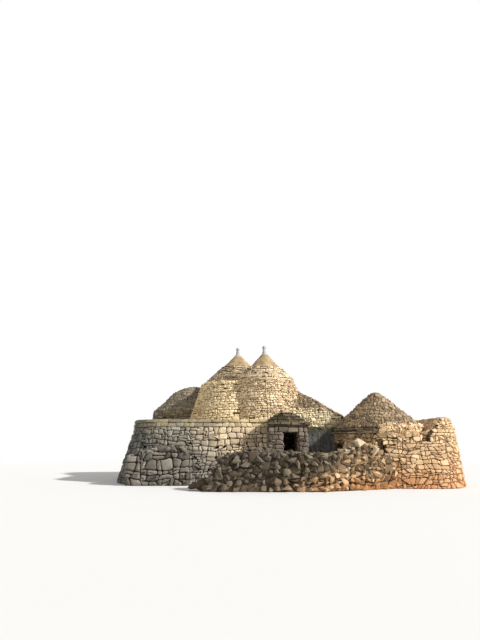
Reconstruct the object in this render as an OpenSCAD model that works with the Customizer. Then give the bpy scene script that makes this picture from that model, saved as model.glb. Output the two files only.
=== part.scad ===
// Trullo house of dry-laid limestone: a battered base with three roofed drums,
// a lower drum to the right with its own cone, a door porch and a yard wall.
// Millimetres. X runs to the right along the front, Y to the back, Z up.
// The origin is at ground level, under the middle of the whole plan.

/* [Base walls] */
// Distance from the origin to the foot of the left end
base_left = 6950; // [6600:50:7400]
// Distance from the origin to the foot of the front wall
base_front = 2700; // [2600:25:2800]
// Distance from the origin to the foot of the back wall
base_back = 5500; // [5400:50:5900]
// Height of the course of capping slabs
cap_band_h = 290; // [220:10:340]
// Radius of the rounded corners at the foot
corner_r = 1950; // [1700:50:2050]
// How far the wall faces lean in from foot to top
batter = 700; // [600:20:760]
// How far the capping slabs stand out from the wall
cap_lip = 45; // [20:5:90]
// Width of the capping slabs, from face to back
cap_slab_w = 330; // [280:10:420]

/* [Rooms] */
// Width of the room behind the door
front_room_w = 2300; // [2200:20:2360]
// Depth of the room behind the door
front_room_d = 1900; // [1860:10:1960]
// Thickness of the cross wall between front and rear rooms
cross_wall_t = 400; // [300:20:500]
// Side of the rear room
rear_room_w = 2100; // [1950:25:2180]
// Width of the left room
left_room_w = 1750; // [1700:10:1800]
// Height of the passages between rooms
passage_h = 1700; // [1500:20:1900]
// Thickness of the stone floors
floor_t = 80; // [50:5:120]

/* [Door porch] */
// Clear width of the doorway
door_w = 640; // [600:10:740]
// Clear height of the doorway
door_h = 2050; // [1900:10:2200]
// Thickness of the lintels, from the doorway's head to the capping slabs
lintel_t = 240; // [180:10:300]
// How far the lintels bear on each pier
lintel_bearing = 190; // [120:10:220]
// Place of the doorway's middle along the front
door_x = 350; // [330:10:420]
// Width of the left pier
pier_left_w = 580; // [520:10:640]
// Width of the right pier
pier_right_w = 350; // [300:10:420]
// How far the porch stands out in front of the foot of the base
porch_out = 200; // [120:10:300]
// Thickness of the porch's cornice slabs
cornice_t = 130; // [90:5:160]
// How far the porch's cornice slabs overhang
cornice_over = 90; // [50:5:130]
// Height of each course of the porch hood
hood_course_h = 130; // [100:5:160]

/* [Front cone] */
// Radius of the front drum at its foot
front_drum_r = 1600; // [1500:20:1680]
// Radius of the front drum under its eave
front_drum_top_r = 1250; // [1150:20:1300]
// Height of both tall drums above the base
tall_drum_h = 1810; // [1620:10:1920]
// How far the front cone's eave stands out from its drum
front_eave_out = 85; // [50:5:130]
// Height of the front cone's rough courses
front_rough_h = 650; // [550:10:750]
// Radius where the front cone's mortar cap begins
front_cap_r = 720; // [660:10:780]
// Height of the front cone's mortar cap
front_cap_h = 700; // [600:10:800]

/* [Rear cone] */
// Radius of the rear drum at its foot
rear_drum_r = 2080; // [2000:20:2120]
// Radius of the rear drum under its eave
rear_drum_top_r = 1760; // [1700:10:1790]
// How far the rear cone's eave stands out from its drum
rear_eave_out = 35; // [20:5:70]
// Height of the rear cone's rough courses
rear_rough_h = 1040; // [940:20:1140]
// Radius where the rear cone's mortar cap begins
rear_cap_r = 745; // [690:10:800]
// Height of the rear cone's mortar cap
rear_cap_h = 680; // [600:10:760]
// Foot radius of the rounded haunch in front of the rear drum
haunch_r = 2300; // [2240:10:2340]
// Top radius of the haunch
haunch_top_r = 1720; // [1660:10:1750]

/* [Roof details] */
// Radius of the ball on a pinnacle
ball_r = 100; // [88:4:120]
// Radius of a pinnacle's neck
neck_r = 75; // [60:3:84]
// Height of a pinnacle from cap to top
pinnacle_h = 390; // [340:10:460]
// Rough height of one roof course, shared out over each cone
course_h = 110; // [90:5:150]

/* [Left dome] */
// Radius of the left drum
left_drum_r = 2040; // [1990:10:2060]
// Height of the left drum above the base
left_drum_h = 590; // [500:10:680]
// Height of the left dome above its drum
left_dome_h = 1300; // [1150:20:1400]

/* [Right drum] */
// Foot radius of the right drum
right_drum_r = 1950; // [1900:10:2000]
// Height of the right drum's walls
right_wall_h = 2000; // [1850:10:2100]
// Side of the right room
right_room_w = 1800; // [1760:20:1880]
// Thickness of the eave slabs
right_eave_t = 120; // [80:10:160]
// Radius of the eave slabs
right_eave_r = 1930; // [1880:10:1980]
// Foot radius of the right cone
right_cone_r = 1800; // [1740:10:1860]
// Height of the right cone
right_cone_h = 1520; // [1400:20:1700]
// Distance from the origin to the outer end of the right terrace
right_end = 6950; // [6700:50:7200]

/* [Annex] */
// Distance from the origin to the annex's right end
annex_right = 2800; // [2700:20:2850]
// Height of the annex wall above the base
annex_h = 540; // [420:20:640]
// Slope of the annex's loose roof in degrees
annex_slope = 32; // [26:1:36]
// Thickness of the annex wall
annex_wall_t = 450; // [350:10:550]
// Thickness of the facade right of the door, from its face to the room
facade_t = 1100; // [1040:10:1200]

/* [Yard] */
// Height of the yard wall
yard_wall_h = 1250; // [1050:20:1450]
// Thickness of the yard wall at its foot
yard_wall_t = 720; // [600:20:800]
// Distance from the origin to the yard wall's outer foot
yard_front = 5500; // [5400:50:5900]
// Height of the low buttress at the left corner
buttress_h = 1550; // [1300:25:1750]

/* [Hidden] */

stone = [0.80, 0.74, 0.60];
pale_stone = [0.86, 0.81, 0.68];
grey_stone = [0.62, 0.61, 0.57];
dark_stone = [0.50, 0.49, 0.46];
mortar = [0.66, 0.55, 0.40];
lime = [0.90, 0.88, 0.83];
plaster = [0.60, 0.62, 0.66];
red_stone = [0.72, 0.56, 0.44];

far = 20000;
skin = 0.3;
roof_fn = 180;
corner_fn = 48;

wall_h = door_h + lintel_t;
base_top = wall_h + cap_band_h;
eave_z = base_top + tall_drum_h;
annex_top_z = base_top + annex_h;
front_eave_r = front_drum_top_r + front_eave_out;
rear_eave_r = rear_drum_top_r + rear_eave_out;

// Middles of the rounded base corners
corner_left_x = corner_r - base_left;
corner_right_x = -500;
corner_front_y = corner_r - base_front;
corner_back_y = base_back - corner_r;

// Faces of the rooms
room_front_y = -1300;
room_left_x = -5000;
front_room_left_x = -1450;
front_room_right_x = front_room_left_x + front_room_w;
front_room_back_y = room_front_y + front_room_d;
rear_room_front_y = front_room_back_y + cross_wall_t;
rear_room_back_y = rear_room_front_y + rear_room_w;
rear_room_left_x = -2860;
rear_room_right_x = rear_room_left_x + rear_room_w;
left_room_right_x = room_left_x + left_room_w;
left_room_front_y = 1700;
left_room_back_y = 3750;
alcove_right_x = -2200;
passage_w = 700;
narrow_passage_w = 600;
vault_clear = 30;
corbel = 80;
roof_clear = 60;
alcove_crown_t = 90;

// Vault radii at their springing and under the eaves
front_vault_r = 880;
front_vault_top_r = 480;
rear_vault_r = 960;
rear_vault_top_r = 640;
left_vault_r = 830;
right_vault_r = 850;

// Roof axes: each vault stands inside its room
front_axis = [front_room_left_x + vault_clear + front_vault_r,
              front_room_back_y - vault_clear - front_vault_r];
rear_axis = [(rear_room_left_x + rear_room_right_x) / 2,
             (rear_room_front_y + rear_room_back_y) / 2 - vault_clear];
haunch_y = 800;
haunch_axis = [rear_axis.x, haunch_y];
left_axis = [(room_left_x + left_room_right_x) / 2, (left_room_front_y + left_room_back_y) / 2];
right_axis_x = 4050;
right_axis = [right_axis_x, room_front_y - right_room_w / 2];

// Vaults close in the cones above them
left_crown_t = 570;
left_vault_top = base_top + left_drum_h + left_dome_h - left_crown_t;
right_crown_t = 480;
right_vault_top = right_wall_h + right_eave_t + right_cone_h - right_crown_t;
vault_tip_over = 200;

// Cone heights
front_cap_z = eave_z + front_rough_h;
rear_cap_z = eave_z + rear_rough_h;
left_dome_z = base_top + left_drum_h;
right_cone_z = right_wall_h + right_eave_t;

// Doorway and porch
door_left_x = door_x - door_w / 2;
door_right_x = door_x + door_w / 2;
porch_left_x = door_left_x - pier_left_w;
porch_right_x = door_right_x + pier_right_w;
porch_front_y = -base_front - porch_out;
terrace_front_y = -base_front + batter;
hood_inset = 60;
hood_setback = [0, 190, 470];
hood_bow = 2.2;

// Annex and facade
facade_front_y = room_front_y - facade_t;
facade_top_z = wall_h - 40;
facade_right_x = 2400;
annex_front_y = -1500;
annex_base_right_x = 2900;
annex_back_y = 1000;
annex_roof_left_x = 600;
annex_slope_r = 1500;
annex_slope_drop = 400;
side_niche_d = 1350;
side_niche_w = 1000;
side_niche_h = 1500;

// Right drum and terrace
right_room_left_x = right_axis.x - right_room_w / 2;
right_room_right_x = right_axis.x + right_room_w / 2;
right_room_front_y = right_axis.y - right_room_w / 2;
right_room_back_y = right_axis.y + right_room_w / 2;
right_corner_r = 1300;
right_lean = 150;
right_corner_x = right_end - right_corner_r;
right_inner_x = 4800;
right_front_corner_y = -3000;
right_back_corner_y = -1100;
yard_door_y = right_room_front_y + 350;
yard_door_w = 600;
yard_door_h = 1600;
crest_x = 6050;
crest_h = 550;
crest_ramp = 600;

// Small recess in the right drum's front, and a notch in the edge of the terrace beside it
slot_x = 3670;
slot_w = 220;
slot_z = 1300;
slot_h = 450;
notch_x = 5290;
notch_w = 280;
notch_z = 1680;
recess_d = 400;

// Yard wall: plan points, and its top as shares of its length and height
yard_left_x = -2800;
yard_bend_x = 1200;
yard_right_x = 4150;
yard_right_y = -4170;
yard_bend_in = 150;
yard_top_shape = [[0, 0], [0.006, 0.344], [0.035, 0.576], [0.084, 0.944], [0.144, 1.016], [0.27, 1],
                  [0.49, 1], [0.62, 0.944], [0.733, 1.08], [0.792, 1.248], [0.90, 1.2], [0.95, 0.8],
                  [1, 0.5], [1, 0]];

// Length of the largest fallen boulder
boulder_l = 600;

// Buttress: its ends, and its top as shares of its length and height
buttress_left_x = -6200;
buttress_right_x = -3700;
buttress_out = 200;
buttress_d = 800;
buttress_top_shape = [[0, 0], [0.02, 0.697], [0.148, 0.774], [0.408, 0.884], [0.70, 0.974],
                      [0.812, 1], [1, 0.755], [1, 0]];

// Axis-parallel block from its lowest to its highest corner
module block(low, high) {
    translate(low)
        cube(high - low);
}

// Cylinder or cone upright on a plan point
module upright(at, z, h, r1, r2) {
    translate([at.x, at.y, z])
        cylinder(h = h, r1 = r1, r2 = r2, $fn = roof_fn);
}

// Corner radius of the battered base at a height
function base_r(z) = corner_r - batter * z / base_top;

// Battered base with rounded corners between two heights, grown outwards
module base_block(z_low, z_high, grow = 0) {
    hull() {
        for (x = [corner_left_x, corner_right_x])
            for (y = [corner_front_y, corner_back_y])
                translate([x, y, z_low])
                    cylinder(h = z_high - z_low, r1 = base_r(z_low) + grow,
                             r2 = base_r(z_high) + grow, $fn = corner_fn);
    }
}

// Part of the base walls between two plan corners
module base_part(low, high) {
    intersection() {
        base_block(0, wall_h);
        block([low.x, low.y, 0], [high.x, high.y, wall_h]);
    }
}

// Arched passage through a wall: a box with a half-round top, along X or Y
module arched_way(at, w, h, run, along_x = false) {
    translate([at.x, at.y, 0])
        rotate([0, 0, along_x ? 90 : 0])
            rotate([90, 0, 0])
                translate([0, 0, -run / 2])
                    linear_extrude(run) {
                        translate([-w / 2, -1])
                            square([w, h - w / 2 + 1]);
                        translate([0, h - w / 2])
                            circle(w / 2, $fn = 48);
                    }
}

// Points of a stepped outline: each course stands plumb and sets back from the last
function steps_up(z, h, n, r_low, r_high) =
    [for (i = [0 : n - 1], s = [0, 1])
        [r_low + (r_high - r_low) * i / n, z + h * (i + s) / n]];

// Radius of a corbelled vault at a height: pointed like the cone above it
function vault_r(z, z_foot, z_top, r_foot) =
    z >= z_top ? 0 : r_foot * (1 - pow((z - z_foot) / (z_top - z_foot), 1.6));

// Ring of a drum: sloping outside, corbelled steps inside
module drum_ring(z, h, r_low, r_high, vault_low, vault_high) {
    rings = 5;
    inner = [for (i = [rings - 1 : -1 : 0], s = [1, 0])
        [vault_low + (vault_high - vault_low) * i / rings, z + h * (i + s) / rings]];
    rotate_extrude($fn = roof_fn)
        polygon(concat([[r_low, z], [r_high, z + h]], inner));
}

// Rough cone of stepped courses over a vault that closes inside it
module stepped_cone(z, h, r_low, r_high, pocket_r, pocket_h) {
    courses = round(h / course_h);
    rotate_extrude($fn = roof_fn)
        polygon(concat(
            steps_up(z, h, courses, r_low, r_high),
            [[0, z + h], [0, z + pocket_h], [pocket_r * 0.6, z + pocket_h],
             [pocket_r * 0.6, z + pocket_h / 2], [pocket_r, z + pocket_h / 2], [pocket_r, z]]));
}

// Smooth mortar cap that flares a little and ends in a small flat for the pinnacle
module mortar_cap(z, h, r_low) {
    tip_r = neck_r * 1.5;
    rotate_extrude($fn = roof_fn)
        polygon([
            [0, z], [r_low, z], [r_low * 0.57 + tip_r * 0.43, z + h * 0.46],
            [r_low * 0.25 + tip_r * 0.75, z + h * 0.80], [tip_r, z + h], [0, z + h]]);
}

// Pinnacle: a flared neck with a ball, turned as one stone
module pinnacle(z) {
    ball_z = pinnacle_h - ball_r;
    seat = sqrt(ball_r * ball_r - neck_r * neck_r);
    translate([0, 0, z]) {
        rotate_extrude($fn = 48)
            polygon([
                [0, 0], [neck_r * 1.5, 0], [neck_r * 1.2, ball_z * 0.35],
                [neck_r, ball_z * 0.7], [neck_r, ball_z - seat], [0, ball_z - seat]]);
        translate([0, 0, ball_z])
            sphere(ball_r, $fn = 48);
    }
}

// Outline of the left drum and dome, grown outwards
left_dome_shape = [[1.00, 0], [0.745, 0.354], [0.51, 0.738], [0.377, 0.854], [0.225, 0.938], [0.1, 1]];

module left_outline(grow) {
    dome = [for (p = left_dome_shape) [left_drum_r * p[0] + grow, left_dome_z + left_dome_h * p[1] + grow]];
    translate([left_axis.x, left_axis.y, 0])
        rotate_extrude($fn = roof_fn)
            polygon(concat([[0, base_top - 1], [left_drum_r + grow, base_top - 1]], dome,
                           [[0, left_dome_z + left_dome_h + grow]]));
}

// Everything on the left dome's side of the wall that it shares with the rear drum
module left_side() {
    run = rear_axis - left_axis;
    gap = norm(run);
    wall_mid = left_vault_r + (gap - left_vault_r - rear_vault_r) / 2;
    translate([left_axis.x, left_axis.y, 0])
        rotate([0, 0, atan2(run.y, run.x)])
            block([-far, -far, 0], [wall_mid, far, far]);
}

// Front drum's outer surface, used where neighbours lean against it
module front_drum_outline(grow) {
    upright(front_axis, base_top - 1, eave_z - base_top + 1, front_drum_r + grow, front_drum_top_r + grow);
}

// Right drum with the rounded terrace beside it, leaning in as they rise
module right_mass(h) {
    lean = right_lean * h / right_wall_h;
    hull() {
        translate([right_axis.x, right_axis.y, 0])
            cylinder(h = h, r1 = right_drum_r, r2 = right_drum_r - lean, $fn = 2 * corner_fn);
        for (x = [right_inner_x, right_corner_x])
            for (y = [right_front_corner_y, right_back_corner_y])
                translate([x, y, 0])
                    cylinder(h = h, r1 = right_corner_r, r2 = right_corner_r - lean, $fn = corner_fn);
    }
}

module left_wall() {
    color(grey_stone)
        base_part([-far, -far], [room_left_x, far]);
}

module front_wall() {
    color(stone)
        base_part([room_left_x, -far], [porch_left_x, room_front_y]);
}

module back_wall_left() {
    color(grey_stone)
        base_part([room_left_x, left_room_back_y], [left_room_right_x, far]);
}

module back_wall_right() {
    color(grey_stone)
        base_part([left_room_right_x, rear_room_back_y], [far, far]);
}

module rear_side_wall() {
    color(grey_stone)
        base_part([rear_room_right_x, rear_room_front_y], [far, rear_room_back_y]);
}

module cross_wall_left() {
    way_x = (room_left_x + left_room_right_x) / 2;
    mid_y = (front_room_back_y + left_room_front_y) / 2;
    color(grey_stone)
        difference() {
            block([room_left_x, front_room_back_y, 0], [left_room_right_x, left_room_front_y, wall_h]);
            arched_way([way_x, mid_y], passage_w, passage_h, far);
        }
}

module cross_wall_right() {
    way_x = (front_room_left_x + rear_room_right_x) / 2;
    mid_y = front_room_back_y + cross_wall_t / 2;
    color(grey_stone)
        difference() {
            block([left_room_right_x, front_room_back_y, 0],
                  [front_room_right_x, rear_room_front_y, wall_h]);
            arched_way([way_x, mid_y], narrow_passage_w, passage_h, far);
        }
}

module left_room_wall() {
    way_y = (rear_room_front_y + rear_room_back_y) / 2 + 250;
    mid_x = (left_room_right_x + rear_room_left_x) / 2;
    color(grey_stone)
        difference() {
            block([left_room_right_x, rear_room_front_y, 0],
                  [rear_room_left_x, rear_room_back_y, wall_h]);
            arched_way([mid_x, way_y], passage_w, passage_h, far, along_x = true);
        }
}

module alcove_wall() {
    way_y = (room_front_y + front_room_back_y) / 2;
    mid_x = (alcove_right_x + front_room_left_x) / 2;
    color(grey_stone)
        difference() {
            block([alcove_right_x, room_front_y, 0], [front_room_left_x, front_room_back_y, wall_h]);
            arched_way([mid_x, way_y], passage_w, passage_h, far, along_x = true);
        }
}

// Barrel vault over the alcove, run along X
module alcove_vault() {
    span = front_room_back_y - room_front_y;
    spring_z = wall_h - span / 2 - alcove_crown_t;
    color(grey_stone)
        difference() {
            block([room_left_x, room_front_y, spring_z], [alcove_right_x, front_room_back_y, wall_h]);
            translate([room_left_x - 1, room_front_y + span / 2, spring_z])
                rotate([0, 90, 0])
                    cylinder(h = alcove_right_x - room_left_x + 2, r = span / 2 - skin, $fn = 64);
        }
}

module annex_base() {
    color(grey_stone)
        difference() {
            block([front_room_right_x, room_front_y, 0],
                  [annex_base_right_x, annex_back_y, wall_h]);
            arched_way([front_room_right_x, room_front_y + front_room_d / 2], side_niche_w,
                       side_niche_h, 2 * side_niche_d, along_x = true);
            base_part([front_room_right_x - 1, rear_room_front_y], [far, far]);
        }
}

// Roof slopes of the annex: a cone about the front drum and a plane over the wall
module annex_slopes() {
    rise = tan(annex_slope);
    top_z = eave_z - annex_slope_drop;
    low_z = wall_h - 1;
    intersection() {
        upright(front_axis, low_z, top_z - low_z, annex_slope_r + (top_z - low_z) / rise, annex_slope_r);
        translate([0, annex_front_y, annex_top_z])
            rotate([annex_slope, 0, 0])
                block([-far, -far, -far], [far, far, 0]);
    }
}

// Annex above the base walls, leaning against the front drum
module annex_body(x_low, y_low, y_high) {
    difference() {
        intersection() {
            annex_slopes();
            union() {
                block([front_room_right_x, y_low, wall_h], [annex_right, y_high, far]);
                block([x_low, y_low, base_top], [front_room_right_x + 1, y_high, far]);
            }
        }
        front_drum_outline(skin);
    }
}

module annex_wall() {
    color(pale_stone)
        annex_body(front_axis.x, annex_front_y, annex_front_y + annex_wall_t);
}

module annex_roof() {
    color(red_stone)
        annex_body(annex_roof_left_x, annex_front_y + annex_wall_t, annex_back_y);
}

module facade_wall() {
    color(plaster)
        difference() {
            block([porch_right_x, facade_front_y, 0], [facade_right_x, room_front_y, facade_top_z]);
            right_mass(right_wall_h + facade_top_z);
        }
}

module porch_left_pier() {
    color(grey_stone) {
        block([porch_left_x, porch_front_y, 0], [door_left_x, room_front_y, door_h]);
        block([porch_left_x, porch_front_y, door_h - 1],
              [door_left_x - lintel_bearing, room_front_y, wall_h]);
    }
}

module porch_right_pier() {
    color(grey_stone) {
        block([door_right_x, porch_front_y, 0], [porch_right_x, room_front_y, door_h]);
        block([door_right_x + lintel_bearing, porch_front_y, door_h - 1],
              [porch_right_x, room_front_y, wall_h]);
    }
}

// Lintels side by side, from the porch front through to the room
module door_lintels() {
    color(pale_stone)
        block([door_left_x - lintel_bearing, porch_front_y, door_h],
              [door_right_x + lintel_bearing, room_front_y, wall_h]);
}

module porch_cornice() {
    color(pale_stone)
        difference() {
            block([porch_left_x, porch_front_y - cornice_over, wall_h],
                  [porch_right_x + cornice_over, terrace_front_y, wall_h + cornice_t]);
            base_block(wall_h, base_top, cap_lip + skin);
        }
}

// Low hood over the porch: courses with round fronts, each set back from the last
module porch_hood() {
    hood_w = porch_right_x - porch_left_x - 2 * hood_inset;
    mid_x = (porch_left_x + porch_right_x) / 2;
    color(stone)
        difference() {
            for (i = [0 : 2]) {
                half = hood_w / 2 - hood_setback[i];
                front = porch_front_y + 0.6 * hood_setback[i];
                bow_r = hood_bow * half;
                low_z = i == 0 ? wall_h + cornice_t : base_top + (i - 1) * hood_course_h;
                high_z = base_top + i * hood_course_h;
                back_y = i == 0 ? terrace_front_y : annex_front_y;
                translate([0, 0, low_z])
                    linear_extrude(high_z - low_z)
                        intersection() {
                            translate([mid_x - half, front])
                                square([2 * half, back_y - front]);
                            translate([mid_x, front + bow_r])
                                circle(bow_r, $fn = roof_fn);
                        }
            }
            front_drum_outline(skin);
            base_block(wall_h, base_top, cap_lip + skin);
        }
}

// Terrace over the rooms, inside the capping slabs, open under each drum
module terrace(low, high, vault_at, vault_r) {
    difference() {
        intersection() {
            base_block(wall_h, base_top, -cap_slab_w);
            block([low.x, low.y, wall_h], [high.x, high.y, base_top]);
        }
        upright(vault_at, wall_h - 10, cap_band_h + 20, vault_r, vault_r);
    }
}

module terrace_left() {
    color(stone)
        terrace([-far, -far], [left_room_right_x, far], left_axis, left_vault_r);
}

module terrace_rear() {
    color(stone)
        terrace([left_room_right_x, front_room_back_y + cross_wall_t / 2], [far, far],
                rear_axis, rear_vault_r);
}

module terrace_front() {
    color(stone)
        terrace([left_room_right_x, -far], [front_room_right_x, front_room_back_y + cross_wall_t / 2],
                front_axis, front_vault_r);
}

module capping_slabs() {
    color(pale_stone)
        difference() {
            base_block(wall_h, base_top, cap_lip);
            translate([0, 0, -1])
                base_block(wall_h, base_top + 2, -cap_slab_w);
            block([front_room_right_x, annex_front_y, 0], [far, annex_back_y, far]);
        }
}

module stone_floors() {
    color(grey_stone) {
        block([front_room_left_x, room_front_y, 0], [front_room_right_x, front_room_back_y, floor_t]);
        block([rear_room_left_x, rear_room_front_y, 0], [rear_room_right_x, rear_room_back_y, floor_t]);
        block([room_left_x, left_room_front_y, 0], [left_room_right_x, left_room_back_y, floor_t]);
        block([room_left_x, room_front_y, 0], [alcove_right_x, front_room_back_y, floor_t]);
        block([right_room_left_x, right_room_front_y, 0],
              [right_room_right_x, right_room_back_y, floor_t]);
    }
}

module front_drum() {
    color(stone)
        translate([front_axis.x, front_axis.y, 0])
            drum_ring(base_top, eave_z - base_top, front_drum_r, front_drum_top_r,
                      front_vault_r, front_vault_top_r);
}

module front_cone() {
    color(stone)
        translate([front_axis.x, front_axis.y, 0])
            stepped_cone(eave_z, front_rough_h, front_eave_r, front_cap_r, front_vault_top_r - corbel, 250);
}

module front_cap() {
    color(mortar)
        translate([front_axis.x, front_axis.y, 0])
            mortar_cap(front_cap_z, front_cap_h, front_cap_r);
}

module front_pinnacle() {
    color(lime)
        translate([front_axis.x, front_axis.y, 0])
            pinnacle(front_cap_z + front_cap_h);
}

module rear_drum() {
    color(stone)
        difference() {
            translate([rear_axis.x, rear_axis.y, 0])
                drum_ring(base_top, eave_z - base_top, rear_drum_r, rear_drum_top_r,
                          rear_vault_r, rear_vault_top_r);
            front_drum_outline(skin);
            intersection() {
                left_outline(skin);
                left_side();
            }
        }
}

module rear_haunch() {
    color(pale_stone)
        difference() {
            upright(haunch_axis, base_top, eave_z - base_top, haunch_r, haunch_top_r);
            upright(rear_axis, base_top - 1, eave_z - base_top + 2, rear_drum_r + skin,
                    rear_drum_top_r + skin);
            front_drum_outline(skin);
            intersection() {
                left_outline(skin);
                left_side();
            }
        }
}

module rear_cone() {
    color(stone)
        difference() {
            translate([rear_axis.x, rear_axis.y, 0])
                stepped_cone(eave_z, rear_rough_h, rear_eave_r, rear_cap_r, rear_vault_top_r - corbel, 400);
            upright(front_axis, eave_z - 1, front_rough_h, front_eave_r + roof_clear,
                    front_cap_r + roof_clear);
        }
}

module rear_cap() {
    color(mortar)
        translate([rear_axis.x, rear_axis.y, 0])
            mortar_cap(rear_cap_z, rear_cap_h, rear_cap_r);
}

module rear_pinnacle() {
    color(lime)
        translate([rear_axis.x, rear_axis.y, 0])
            pinnacle(rear_cap_z + rear_cap_h);
}

// Corbelled void under the left dome
module left_void() {
    rings = 5;
    h = left_vault_top - base_top;
    inner = [for (i = [0 : rings - 1], s = [0, 1])
        [vault_r(base_top + h * i / rings, base_top, left_vault_top + vault_tip_over, left_vault_r),
         base_top + h * (i + s) / rings - (i + s == 0 ? 10 : 0)]];
    translate([left_axis.x, left_axis.y, 0])
        rotate_extrude($fn = roof_fn)
            polygon(concat([[0, base_top - 10]], inner, [[0, left_vault_top]]));
}

// Radius of the left dome at a share of its height
function left_dome_r(share) =
    left_drum_r * lookup(share, [for (p = left_dome_shape) [p[1], p[0]]]);

module left_drum() {
    color(dark_stone)
        difference() {
            intersection() {
                upright(left_axis, base_top, left_drum_h, left_drum_r, left_drum_r);
                left_side();
            }
            left_void();
        }
}

// Left dome: each course stands plumb, inside the outline that its neighbours are cut to
module left_dome() {
    courses = round(left_dome_h / course_h);
    rise = left_dome_h / courses;
    color(stone)
        difference() {
            intersection() {
                translate([left_axis.x, left_axis.y, left_dome_z])
                    rotate_extrude($fn = roof_fn)
                        polygon(concat(
                            [[0, 0]],
                            [for (i = [0 : courses - 1], s = [0, 1])
                                [left_dome_r((i + 1) / courses), rise * (i + s)]],
                            [[0, left_dome_h]]));
                left_side();
            }
            left_void();
        }
}

// Recess from the front face of the right mass, between two heights
module front_recess(x, w, z_low, z_high, foot_y) {
    block([x - w / 2, -far, z_low], [x + w / 2, foot_y + recess_d, z_high]);
}

module right_front_wall() {
    color(stone)
        difference() {
            intersection() {
                right_mass(right_wall_h);
                block([-far, -far, 0], [far, right_room_front_y, right_wall_h]);
            }
            front_recess(slot_x, slot_w, slot_z, slot_z + slot_h, right_axis.y - right_drum_r);
            front_recess(notch_x, notch_w, notch_z, far, right_front_corner_y - right_corner_r);
        }
}

module right_end_wall() {
    color(stone)
        intersection() {
            right_mass(right_wall_h);
            block([right_room_right_x, right_room_front_y, 0], [far, far, right_wall_h]);
        }
}

module right_back_wall() {
    color(grey_stone)
        intersection() {
            right_mass(right_wall_h);
            block([annex_base_right_x, right_room_back_y, 0], [right_room_right_x, far, right_wall_h]);
        }
}

module right_yard_wall() {
    color(grey_stone)
        difference() {
            intersection() {
                right_mass(right_wall_h);
                block([-far, right_room_front_y, 0], [right_room_left_x, right_room_back_y, right_wall_h]);
            }
            arched_way([right_room_left_x, yard_door_y], yard_door_w, yard_door_h, far, along_x = true);
        }
}

// Raised outer end of the terrace, ramped on its inner side
module right_end_crest() {
    crest_r = right_corner_r - right_lean;
    color(stone)
        difference() {
            intersection() {
                hull()
                    for (y = [right_front_corner_y, right_back_corner_y])
                        translate([right_corner_x, y, right_wall_h])
                            cylinder(h = crest_h, r1 = crest_r, r2 = crest_r - right_lean, $fn = corner_fn);
                translate([0, far, right_wall_h])
                    rotate([90, 0, 0])
                        linear_extrude(2 * far)
                            polygon([[crest_x - crest_ramp, 0], [far, 0], [far, crest_h],
                                     [crest_x, crest_h]]);
            }
            upright(right_axis, right_wall_h - 1, crest_h + 2, right_eave_r + skin, right_eave_r + skin);
        }
}

module right_eave_slabs() {
    color(pale_stone)
        difference() {
            upright(right_axis, right_wall_h, right_eave_t, right_eave_r, right_eave_r);
            upright(right_axis, right_wall_h - 1, right_eave_t + 2, right_vault_r, right_vault_r);
            block([-far, room_front_y, 0], [annex_base_right_x, far, far]);
            block([-far, facade_front_y, 0], [facade_right_x, far, far]);
        }
}

module right_cone() {
    courses = round(right_cone_h / course_h);
    rings = 4;
    h = right_vault_top - right_cone_z;
    inner = [for (i = [rings - 1 : -1 : 0], s = [1, 0])
        [vault_r(right_cone_z + h * i / rings, right_cone_z, right_vault_top + vault_tip_over,
                 right_vault_r),
         right_cone_z + h * (i + s) / rings]];
    color(stone)
        difference() {
            translate([right_axis.x, right_axis.y, 0])
                rotate_extrude($fn = roof_fn)
                    polygon(concat(
                        steps_up(right_cone_z, right_cone_h, courses, right_cone_r, 60),
                        [[0, right_cone_z + right_cone_h], [0, right_vault_top]], inner));
            block([-far, annex_front_y, 0], [annex_base_right_x, far, far]);
        }
}

module left_buttress() {
    run = buttress_right_x - buttress_left_x;
    color(grey_stone)
        difference() {
            translate([buttress_left_x, -base_front - buttress_out + buttress_d, 0])
                rotate([90, 0, 0])
                    linear_extrude(buttress_d)
                        polygon([for (p = buttress_top_shape) [p[0] * run, p[1] * buttress_h]]);
            base_block(0, base_top, skin);
        }
}

// Yard wall: its plan bends towards the right drum, its top is uneven
module yard_wall() {
    t = yard_wall_t;
    run = yard_right_x - yard_left_x;
    color(dark_stone)
        difference() {
            intersection() {
                linear_extrude(2 * yard_wall_h)
                    polygon([
                        [yard_left_x, -yard_front], [yard_bend_x, -yard_front], [yard_right_x, yard_right_y],
                        [yard_right_x, yard_right_y + t], [yard_bend_x - yard_bend_in, -yard_front + t],
                        [yard_left_x, -yard_front + t]]);
                translate([yard_left_x, 0, 0])
                    rotate([90, 0, 0])
                        linear_extrude(2 * yard_front)
                            polygon([for (p = yard_top_shape) [p[0] * run, p[1] * yard_wall_h]]);
            }
            right_mass(right_wall_h);
        }
}

// Boulder: a block with its corners knocked off, sitting on the ground
module boulder(at, size, turn, lean) {
    translate([at.x, at.y, 0])
        rotate([0, 0, turn])
            intersection() {
                block([-size.x / 2, -size.y / 2, 0], [size.x / 2, size.y / 2, size.z]);
                rotate([lean, 0, 45])
                    block([-0.52 * size.x, -0.52 * size.x, -size.z],
                          [0.52 * size.x, 0.52 * size.x, 2 * size.z]);
                rotate([0, lean + 28, 10])
                    block([-0.50 * size.x, -size.y, -size.z],
                          [0.58 * size.x, size.y, 1.2 * size.z]);
            }
}

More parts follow.
